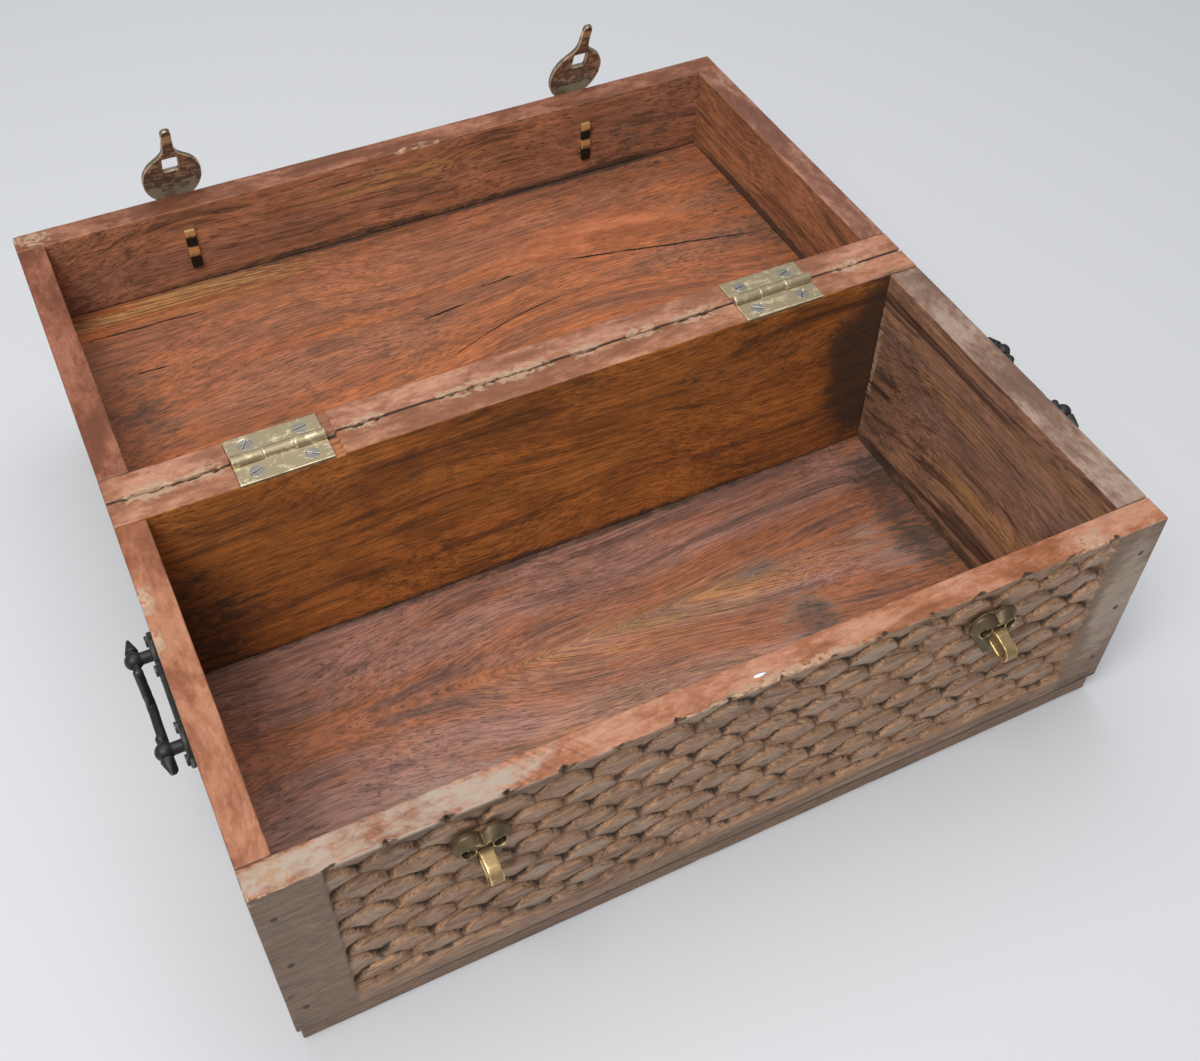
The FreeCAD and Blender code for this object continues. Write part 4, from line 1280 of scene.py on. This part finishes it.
@dataclass
class CastPiece:
    """A metal piece with softened edges, worn bright on ridges and dark in hollows, in millimetres."""

    node: str
    finish: bpy.types.Material
    cell: float
    soften: int
    dents: float = 0.0
    seed: int = 5
    tint: Tint | None = None

    SHARPNESS: ClassVar[float] = 2.2
    GROW: ClassVar[float] = 0.12
    TINY: ClassVar[float] = 1e-9

    def build(self) -> None:
        """Make, dress and place the piece."""
        mesh = self.softened()
        made = linked(mesh.name, mesh)
        self.wear(mesh)
        mesh.materials.clear()
        mesh.materials.append(self.finish)
        mesh.shade_smooth()
        put_in_place(made, self.node)

    def softened(self) -> bpy.types.Mesh:
        """Copy the solid's mesh with even faces and soft edges.

        Returns:
            The softened mesh.
        """
        mesh = frame["nodes"][self.node].data.copy()
        work = bmesh.new()
        work.from_mesh(mesh)
        bmesh.ops.remove_doubles(work, verts=work.verts, dist=1e-6)
        work.to_mesh(mesh)
        work.free()
        holder = linked("softening", mesh)
        remesh = holder.modifiers.new("even", "REMESH")
        remesh.mode = "VOXEL"
        remesh.voxel_size = self.cell * MM
        smooth = holder.modifiers.new("soft", "SMOOTH")
        smooth.iterations = self.soften
        smooth.factor = 0.5
        ready = holder.evaluated_get(bpy.context.evaluated_depsgraph_get())
        result = bpy.data.meshes.new_from_object(ready)
        bpy.data.objects.remove(holder)
        result.name = f"{self.node}_cast"
        return result

    def wear(self, mesh: bpy.types.Mesh) -> None:
        """Find ridges and hollows, keep the masks and dent the surface within the solid's box.

        Args:
            mesh: Mesh of the softened piece.
        """
        points = gathered(mesh.vertices, "co", 3) / MM
        normals = gathered(mesh.vertices, "normal", 3)
        bend = self.SHARPNESS * self.curvature(points, normals, gathered(mesh.edges, "vertices", 2, np.int64))
        masks = {Mask.WEAR: smoothstep(0.05, 0.45, bend), Mask.GRIME: smoothstep(0.05, 0.40, -bend)}
        tints = self.tint(points) if self.tint else {}
        for mask, values in masks.items():
            write_mask(mesh, mask, values + tints.get(mask, 0.0))
        sink = self.dents * Noise(self.seed).layered(points / 4.0) - self.GROW
        limits = gathered(frame["nodes"][self.node].data.vertices, "co", 3) / MM
        dented = np.clip(points - normals * sink[:, None], limits.min(axis=0), limits.max(axis=0))
        mesh.vertices.foreach_set("co", (dented * MM).ravel())

    def curvature(self, points: Array, normals: Array, edges: Array) -> Array:
        """Find how far each point stands out of its neighbours, averaged over a few rings.

        Args:
            points: Places of the points.
            normals: Outward directions of the points.
            edges: Pairs of neighbours.

        Returns:
            Positive values on ridges and negative values in hollows.
        """
        a, b = edges.T
        step = points[b] - points[a]
        length = np.linalg.norm(step, axis=1) + self.TINY
        count = np.bincount(edges.ravel(), minlength=len(points)) + self.TINY
        lean = np.bincount(a, -np.einsum("ij,ij->i", step, normals[a]) / length, len(points))
        lean += np.bincount(b, np.einsum("ij,ij->i", step, normals[b]) / length, len(points))
        lean /= count
        for _ in range(2):
            near = np.bincount(a, lean[b], len(points)) + np.bincount(b, lean[a], len(points))
            lean = 0.5 * lean + 0.5 * near / count
        return lean


@dataclass
class Fitting:
    """A metal fitting on one side of the chest, made of cast pieces."""

    side: Side
    metals: Mapping[Metal, bpy.types.Material]

    NAME: ClassVar[str]

    def cast(self, part: str, metal: Metal, *values: object) -> None:
        """Build one piece of the fitting from the values of its cast."""
        CastPiece(f"{self.NAME}_{self.side.value}_{part}", self.metals[metal], *values).build()


@dataclass
class Hinge(Fitting):
    """A brass butt hinge: two leaves, a pin and four slotted screws."""

    NAME: ClassVar[str] = "hinge"

    def build(self) -> None:
        """Build the five pieces."""
        for half in ("base", "lid"):
            self.cast(f"{half}_leaf", Metal.HINGE, 0.32, 2)
            self.cast(f"{half}_screws", Metal.STEEL, 0.22, 2)
        self.cast("pin", Metal.STEEL, 0.3, 2)


@dataclass
class Staple(Fitting):
    """A brass staple on the front: heart-shaped plate, strap eye and nails."""

    NAME: ClassVar[str] = "staple"

    def build(self) -> None:
        """Build the three pieces."""
        self.cast("plate", Metal.LOCK, 0.35, 6, 0.2, 3)
        self.cast("eye", Metal.STRAP, 0.35, 4, 0.15, 4)
        self.cast("nails", Metal.NAIL, 0.35, 2)


@dataclass
class Hasp(Fitting):
    """A brass hasp on the lid: strap eye, pin and slotted plate with a finger tail, in millimetres."""

    lid_wall: float = 338.0
    fold: float = 121.6
    pivot: tuple[float, float] = (370.2, 124.8)
    lean: float = 25.0

    NAME: ClassVar[str] = "hasp"

    def build(self) -> None:
        """Build the three pieces."""
        self.cast("eye", Metal.STRAP, 0.35, 4, 0.15, 6, self.clinched)
        self.cast("pin", Metal.HASP, 0.3, 2)
        self.cast("plate", Metal.HASP, 0.4, 4, 0.2, 8, self.handled)

    def clinched(self, points: Array) -> dict[Mask, Array]:
        """Brighten the ends of the two legs bent over inside the lid, and darken the fold between them and
        the part below them with painted shade.

        Args:
            points: Points of the eye.

        Returns:
            What is added to the masks.
        """
        leg = points[:, 1] < self.lid_wall
        above = points[:, 2] - self.fold
        rubbed = smoothstep(6.5, 8.5, above) + smoothstep(-6.5, -4.5, above) * smoothstep(-0.6, -2.0, above)
        fold = smoothstep(-1.2, 0.0, above) * (1.0 - smoothstep(5.0, 7.5, above))
        dark = fold + smoothstep(-6.5, -8.5, above)
        return {Mask.WEAR: leg * 0.9 * rubbed, Mask.GRIME: leg * 0.9 * dark}

    def handled(self, points: Array) -> dict[Mask, Array]:
        """Brighten the foot near the rim and a ring near the tip of the tail, and lay painted light on the
        side towards the lid, which the lamps leave in shade.

        Args:
            points: Points of the plate.

        Returns:
            What is added to the masks.
        """
        away = points[:, 1:] - self.pivot
        along = np.linalg.norm(away, axis=1)
        lean = math.radians(self.lean)
        # Painted light on the face towards the lid, which faces down and away from the lamps.
        painted_light_face = smoothstep(0.0, 0.9, -away @ (math.cos(lean), math.sin(lean)))
        foot = smoothstep(14.0, 17.0, along) * (1.0 - smoothstep(24.0, 36.0, along))
        ring = smoothstep(78.0, 80.0, along) * (1.0 - smoothstep(82.5, 85.0, along))
        wear = 0.36 * painted_light_face + 0.55 * foot + 0.9 * ring
        return {Mask.WEAR: wear, Mask.GRIME: 0.35 * smoothstep(84.0, 87.0, along)}


@dataclass
class DropHandle(Fitting):
    """A black iron drop handle on one end: mount, hanging bail and nails."""

    NAME: ClassVar[str] = "handle"

    def build(self) -> None:
        """Build the three pieces."""
        self.cast("mount", Metal.IRON, 0.45, 3, 0.15, 9)
        self.cast("bail", Metal.IRON, 0.4, 4, 0.35, 10)
        self.cast("nails", Metal.NAIL, 0.35, 2)


@dataclass
class Nails:
    """Plain nails that keep the shape of the solid model and get a metal finish."""

    nodes: tuple[str, ...]
    finish: bpy.types.Material

    def build(self) -> None:
        """Dress the nails."""
        for node in self.nodes:
            mesh = frame["nodes"][node].data
            mesh.materials.clear()
            mesh.materials.append(self.finish)
            slot_of_node(node)
            LOG.info("%s: dressed", node)


@dataclass
class RimNail:
    """A nail that is bent over and beaten flush into the front rim, in millimetres."""

    finish: bpy.types.Material
    node: str = "front_rim_nail"
    half: Triple = (4.4, 1.5, 0.6)
    rings: int = 14
    rubbed: float = 0.6

    def build(self) -> None:
        """Make, dress and place the flattened nail."""
        low, high = (np.array(corner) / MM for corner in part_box(self.node))
        middle = np.append(0.5 * (low + high)[:2], high[2] - self.half[2])
        work = bmesh.new()
        bmesh.ops.create_uvsphere(work, u_segments=2 * self.rings, v_segments=self.rings, radius=1.0)
        mesh = bpy.data.meshes.new(f"{self.node}_flat")
        work.to_mesh(mesh)
        work.free()
        points = gathered(mesh.vertices, "co", 3) * self.half + middle
        mesh.vertices.foreach_set("co", (points * MM).ravel())
        for mask, amount in ((Mask.WEAR, self.rubbed), (Mask.GRIME, 0.0)):
            write_mask(mesh, mask, np.full(len(points), amount))
        mesh.shade_smooth()
        mesh.materials.append(self.finish)
        put_in_place(linked(mesh.name, mesh), self.node)


def joint_board(
    node: str, finish: WoodFinish, outside: Facing, seed: int, edge: float, marks: Marks
) -> Board:
    """Back board of the base or the lid, with the hinges let into its rim.

    Args:
        node: Node of the solid model.
        finish: The board's wood.
        outside: Where its outside faces.
        seed: Seed of its wear.
        edge: Place of its broken edge along Y, in millimetres.
        marks: Its other marks.

    Returns:
        The board, whose outside reaches a little into the joint.
    """
    crisp = Spot((0.0, edge, RIM_TOP), (300.0, 3.6, 3.6), -0.9)
    chips = (Spot((x, edge, RIM_TOP), (half, 4.6, 4.4), 2.6) for x, half in JOINT_FLAWS)
    wear = tuple(Spot((x, edge, RIM_TOP), (1.1 * half, 6.5, 4.0), 0.55) for x, half in JOINT_FLAWS)
    ends = ((end, sign) for span in HINGE_SPANS for end, sign in zip(span, (-1, 1)))
    reach = JOINT_REACH * outside.value[1]
    return Board(
        node,
        finish,
        outside,
        seed,
        {**marks, Mask.WEAR: wear},
        (crisp, *chips),
        step_along=1.2,
        grown=((0.0, min(reach, 0.0), 0.0), (0.0, max(reach, 0.0), 0.0)),
        cuts=tuple(end + sign * beyond for end, sign in ends for beyond in (0.0, 0.15)),
        shapers=[HingeRecess()],
    )


@dataclass
class Box:
    """Half of the chest: five boards that share the shader groups."""

    shaders: Shaders

    def build(self) -> None:
        """Build the five boards."""
        for board in self.boards():
            board.build(self.shaders)

    def boards(self) -> tuple[Board, ...]:
        """The boards in the order in which they are built; each half has its own."""
        raise NotImplementedError


@dataclass
class BaseBox(Box):
    """The lower part of the chest: carved front, back, two ends and bottom."""

    joint_edge: float = 117.0

    def boards(self) -> tuple[Board, ...]:
        """The five boards of the base."""
        return self.front(), self.back(), self.left(), self.right(), self.bottom()

    def front(self) -> Board:
        """Describe the carved front board.

        Returns:
            The board, ready to be built.
        """
        finish = WoodFinish(
            "carved_wood", (0.16, 0.09, 0.052), (0.39, 0.226, 0.132), (0.465, 0.257, 0.142),
            offset=(0.3, 0.2, 0.0), saw=1.0, dust=(0.45, 0.35, 0.275), rim=(0.38, 0.122, 0.046),
            pale_rim=(0.40, 0.19, 0.118), weathered=(0.185, 0.135, 0.1),
        )
        chips = spots(
            (-232, -115, 148, 22, 12, 7, 2.2), (14, -117, 148, 48, 6, 5.5, 2.6),
            (-20, -117, 148, 18, 5, 5, 2.0), (191, -117, 148, 13, 8, 6, 2.6),
        )
        marks = {
            Mask.WEAR: spots(
                (-222, -109, 148, 16, 12, 4, 0.40), (-190, -109, 148, 16, 9, 4, 0.24),
                (22, -115, 147, 50, 5, 5, 0.55), (190, -112, 148, 14, 9, 4, 0.60),
            ),
            Mask.DUST: spots(
                # The spot on the plain right end is painted sheen, a paler, greyer patch that stands for
                # reflected light.
                (-180, -109, 148, 130, 14, 4, 0.58), (224, -117, 90, 24, 9, 80, 0.60),
                (-222, -117, 96, 20, 9, 60, 0.20),
            ),
            Mask.GRIME: spots(
                (-232, -117, 70, 20, 9, 90, 0.26), (195, -117, 18, 70, 9, 16, 0.40),
                # The long thin spot along the foot is painted shade in the seam above the bottom board.
                (0, -117, 14, 330, 6, 3.6, 0.95),
            ),
        }
        return CarvedBoard(
            "base_front_board", finish, Facing.FRONT, 11, marks, chips, step=2.6, edge_radius=0.8
        )

    def back(self) -> Board:
        """Describe the back board, with the hinges let into its rim.

        Returns:
            The board, ready to be built.
        """
        finish = WoodFinish(
            "back_wood", (0.12, 0.05, 0.024), (0.35, 0.122, 0.033), (0.48, 0.168, 0.04),
            offset=(1.7, 0.4, 0.1), gold=(0.50, 0.205, 0.05), rim=(0.36, 0.14, 0.072),
            pale_rim=(0.39, 0.19, 0.12),
        )
        marks = {
            Mask.GRIME: spots(
                # The spot at the left end darkens the wall with painted shade, where the left board shades
                # it.
                (0, 101, 14, 300, 7, 8, 0.50), (-222, 101, 50, 70, 9, 90, 0.52),
                (218, 101, 80, 56, 9, 100, 0.80), (-81, 101, 118, 9, 9, 30, 0.36),
                (-62, 101, 112, 5, 9, 24, 0.30), (120, 101, 112, 90, 9, 24, 0.30),
            ),
            Mask.GOLD: spots((20, 101, 75, 150, 9, 14, 0.70), (-40, 101, 36, 190, 9, 12, 0.55)),
        }
        return joint_board("base_back_board", finish, Facing.BACK, 23, self.joint_edge, marks)

    def left(self) -> Board:
        """Describe the left end board.

        Returns:
            The board, ready to be built.
        """
        finish = WoodFinish(
            "left_wood", (0.12, 0.056, 0.032), (0.28, 0.124, 0.064), (0.38, 0.165, 0.075),
            Grain.ALONG_DEPTH, (0.9, 2.2, 0.0), rim=(0.345, 0.115, 0.05), pale_rim=(0.36, 0.155, 0.085),
        )
        wear = spots((-233, 50, 148, 6, 14, 4, 0.75), (-234, 24, 148, 5, 12, 4, 0.70))
        return Board("base_left_board", finish, Facing.LEFT, 31, {Mask.WEAR: wear})

    def right(self) -> Board:
        """Describe the right end board.

        Returns:
            The board, ready to be built.
        """
        finish = WoodFinish(
            "right_wood", (0.085, 0.047, 0.034), (0.275, 0.155, 0.108), (0.37, 0.195, 0.112),
            Grain.ALONG_DEPTH, (2.1, 3.0, 0.2), figure=0.95, rim=(0.26, 0.15, 0.105),
            pale_rim=(0.30, 0.215, 0.17),
        )
        marks = {
            Mask.GOLD: spots((216, -30, 62, 9, 80, 14, 0.70), (216, 20, 108, 9, 60, 9, 0.65)),
            Mask.GRIME: spots((216, 0, 16, 9, 150, 12, 0.60), (216, 85, 60, 9, 40, 70, 0.40)),
            Mask.RIM: spots((216, 58, 92, 6, 24, 12, 0.45)),
            Mask.WEAR: spots((216, 99, 88, 6, 5, 46, 0.60)),
            Mask.DUST: spots((216, 88, 98, 6, 16, 34, 0.35)),
        }
        return Board("base_right_board", finish, Facing.RIGHT, 37, marks)

    def bottom(self) -> Board:
        """Describe the bottom board, seen as the floor of the chest.

        Returns:
            The board, ready to be built.
        """
        finish = WoodFinish(
            "bottom_wood", (0.16, 0.082, 0.064), (0.345, 0.172, 0.126), (0.345, 0.126, 0.058),
            offset=(0.0, 0.05, 0.0), figure=0.75, flow=Flame(-100.0, 33.0, 90.0),
            weathered=(0.24, 0.165, 0.11),
        )
        marks = {
            Mask.GRIME: spots(
                (0, 101, 14, 300, 7, 6, 0.60), (114, -20, 14, 24, 34, 8, 0.52),
                (214, 30, 14, 40, 90, 8, 0.54), (150, 72, 14, 90, 40, 8, 0.26),
                (100, 34, 14, 30, 12, 8, 0.28),
            ),
            Mask.DUST: spots(
                # The large spot on the left of the floor is painted sheen, a paler, greyer patch that stands
                # for reflected light.
                (-130, -50, 14, 110, 70, 8, 0.34), (190, 20, 14, 60, 70, 8, 0.30),
                (112, -16, 14, 34, 36, 8, 0.42), (100, 34, 14, 26, 12, 8, 0.40),
            ),
            Mask.GOLD: spots((30, 24, 14, 150, 22, 8, 0.45), (0, -20, 14, 110, 16, 8, 0.35)),
        }
        return Board("base_bottom_board", finish, Facing.BELOW, 41, marks, weather=0.9)


@dataclass
class Lid(Box):
    """The lid, laid open behind the base."""

    joint_edge: float = 119.6

    def boards(self) -> tuple[Board, ...]:
        """The five boards of the lid."""
        return self.front(), self.back(), self.left(), self.right(), self.top()

    def front(self) -> Board:
        """Describe the front board of the lid, farthest from the base while the lid lies open.

        Returns:
            The board, ready to be built.
        """
        finish = WoodFinish(
            "lid_front_wood", (0.14, 0.068, 0.042), (0.37, 0.172, 0.104), (0.46, 0.196, 0.1),
            offset=(2.6, 1.2, 0.3), rim=(0.26, 0.095, 0.05), pale_rim=(0.31, 0.135, 0.085),
        )
        chips = spots((16, 338, 148, 24, 5, 6, 3.4), (-230, 350, 148, 24, 9, 7, 2.0))
        marks = {
            Mask.GRIME: spots((0, 337.6, 93, 300, 6, 7, 0.60), (170, 337.6, 112, 60, 8, 34, 0.34)),
            Mask.GOLD: spots((10, 337.6, 127, 90, 6, 15, 0.60)),
            Mask.WEAR: spots(
                (16, 339, 148, 24, 5, 5, 0.20), (-30, 337.6, 137, 72, 4, 10, 0.16),
                (-224, 346, 148, 16, 10, 4, 0.50),
            ),
            Mask.DUST: spots((175, 337.6, 118, 50, 6, 26, 0.26)),
        }
        return Board("lid_front_board", finish, Facing.BACK, 53, marks, chips)

    def back(self) -> Board:
        """Describe the back board of the lid, with the hinges let into its rim.

        Returns:
            The board, ready to be built.
        """
        finish = WoodFinish(
            "lid_back_wood", (0.13, 0.06, 0.034), (0.30, 0.13, 0.066), (0.40, 0.165, 0.075),
            offset=(3.3, 0.8, 0.6), rim=(0.38, 0.145, 0.077), pale_rim=(0.41, 0.20, 0.13),
        )
        return joint_board("lid_back_board", finish, Facing.FRONT, 59, self.joint_edge, {})

    def left(self) -> Board:
        """Describe the left end board of the lid.

        Returns:
            The board, ready to be built.
        """
        finish = WoodFinish(
            "lid_left_wood", (0.12, 0.056, 0.032), (0.29, 0.125, 0.062), (0.38, 0.16, 0.072),
            Grain.ALONG_DEPTH, (4.0, 0.7, 0.1), rim=(0.235, 0.074, 0.037), pale_rim=(0.27, 0.103, 0.062),
        )
        return Board("lid_left_board", finish, Facing.LEFT, 61)

    def right(self) -> Board:
        """Describe the right end board of the lid.

        Returns:
            The board, ready to be built.
        """
        finish = WoodFinish(
            "lid_right_wood", (0.13, 0.06, 0.034), (0.34, 0.145, 0.075), (0.42, 0.175, 0.085),
            Grain.ALONG_DEPTH, (5.2, 1.9, 0.4), rim=(0.28, 0.115, 0.072), pale_rim=(0.33, 0.17, 0.12),
        )
        grime = spots((219, 236, 94, 8, 150, 9, 0.70))
        return Board("lid_right_board", finish, Facing.RIGHT, 67, {Mask.GRIME: grime})

    def top(self) -> Board:
        """Describe the top board of the lid, seen as its floor while it lies open.

        Returns:
            The board, ready to be built.
        """
        cracks = (
            Crack(-26.0, 10.0, 242.4, 0.12, width=0.9),
            Crack(18.0, 48.0, 256.6, 0.08),
            Crack(62.0, 222.0, 263.0, -0.22, width=0.9),
            Crack(-32.0, 78.0, 198.0, 0.28, 5.5, 1.0, 0.45),
            Crack(-232.0, -128.0, 311.5, -0.02, wander=3.0, width=0.6),
            Crack(-198.0, -170.0, 270.0, width=0.6),
        )
        finish = WoodFinish(
            "lid_top_wood", (0.17, 0.07, 0.04), (0.33, 0.124, 0.062), (0.415, 0.128, 0.045),
            offset=(6.1, 0.3, 0.0), figure=0.5, flow=Crest(75.0, 190.0, 70.0, 42.0, 100.0),
            rim=(0.43, 0.125, 0.048), pale_rim=(0.43, 0.14, 0.06), cracks=cracks,
        )
        marks = {
            Mask.GOLD: spots((-150, 327, 92, 120, 16, 8, 1.0)),
            Mask.RIM: spots((112, 276, 92, 90, 26, 8, 0.80)),
            Mask.GRIME: spots(
                (0, 337.6, 92, 300, 6, 5, 0.60), (214, 240, 92, 66, 120, 8, 0.38),
                (-219, 225, 92, 66, 100, 8, 0.36), (150, 322, 92, 90, 26, 8, 0.32),
                (-60, 205, 92, 50, 26, 8, 0.20),
            ),
        }
        return Board("lid_top_board", finish, Facing.BELOW, 73, marks, weather=0.7)


@dataclass(frozen=True)
class Studio:
    """Pale floor, soft light and the camera."""

    camera_place: Triple = (-225.4, -404.7, 669.2)
    heading: float = 26.794
    pitch: float = -49.160
    roll: float = 0.850
    lens: float = 42.37
    sensor: float = 36.0
    floor_colour: Triple = (0.70, 0.71, 0.73)
    floor_rough: float = 0.7
    floor_side: float = 12.0
    sky: Triple = (0.93, 0.96, 1.0)
    sky_strength: float = 0.27
    aim: Triple = (0.0, 0.1, 0.1)

    def build(self) -> None:
        """Set up floor, light, sky and camera."""
        self.floor()
        self.world()
        self.lamp("key", (-0.85, -0.65, 2.10), 1.2, 38.0)
        self.lamp("overhead", (0.20, 0.65, 1.90), 1.4, 12.5)
        self.camera()
        bpy.context.scene.view_settings.view_transform = "Standard"

    def floor(self) -> None:
        """Lay the floor."""
        half = self.floor_side / 2
        mesh = bpy.data.meshes.new("floor")
        corners = [(-half, -half, 0), (half, -half, 0), (half, half, 0), (-half, half, 0)]
        mesh.from_pydata(corners, [], [(0, 1, 2, 3)])
        floor = linked("floor", mesh)
        material, _, surface = new_material("pale_floor")
        surface["Base Color"].default_value = opaque(self.floor_colour)
        surface["Roughness"].default_value = self.floor_rough
        mesh.materials.append(material)

    def world(self) -> None:
        """Light everything softly from all around."""
        world = bpy.data.worlds.new("soft_sky")
        bpy.context.scene.world = world
        world.use_nodes = True
        background = world.node_tree.nodes["Background"].inputs
        background["Color"].default_value = opaque(self.sky)
        background["Strength"].default_value = self.sky_strength

    def lamp(self, name: str, place: Triple, side: float, power: float) -> None:
        """Hang a square lamp that faces the chest.

        Args:
            name: Name of the lamp.
            place: Its place in metres.
            side: Its side in metres.
            power: Its power in watts.
        """
        light = bpy.data.lights.new(name, "AREA")
        light.shape = "SQUARE"
        light.size = side
        light.energy = power
        lamp = linked(name, light)
        lamp.location = place
        lamp.rotation_euler = (Vector(self.aim) - lamp.location).to_track_quat("-Z", "Y").to_euler()

    def camera(self) -> None:
        """Stand the camera where the photograph was taken."""
        heading, pitch, roll = (math.radians(angle) for angle in (self.heading, self.pitch, self.roll))
        flat = math.cos(pitch)
        ahead = Vector((math.sin(heading) * flat, math.cos(heading) * flat, math.sin(pitch)))
        level = Vector((math.cos(heading), -math.sin(heading), 0.0))
        right = level * math.cos(roll) + level.cross(ahead) * math.sin(roll)
        data = bpy.data.cameras.new("camera")
        data.sensor_fit = "HORIZONTAL"
        data.sensor_width = self.sensor
        data.lens = self.lens
        camera = linked("camera", data)
        turn = Matrix((right, right.cross(ahead), -ahead)).transposed().to_4x4()
        camera.matrix_world = Matrix.Translation(Vector(self.camera_place) * MM) @ turn
        bpy.context.scene.camera = camera


def main() -> None:
    """Build the chest piece by piece, then the studio around it."""
    logging.basicConfig(level=logging.INFO, format="%(message)s")
    shaders = Shaders(AgedWoodGroup(), CrackGroup(), AgedMetalGroup())
    metals = {metal: metal.value.material(shaders) for metal in Metal}
    for half in (BaseBox, Lid):
        half(shaders).build()
    for side, fitting in product(Side, (Hinge, Staple, Hasp, DropHandle)):
        fitting(side, metals).build()
    Nails(BOARD_NAILS, metals[Metal.NAIL]).build()
    RimNail(metals[Metal.BRIGHT]).build()
    Studio().build()


if __name__ == "__main__":
    main()
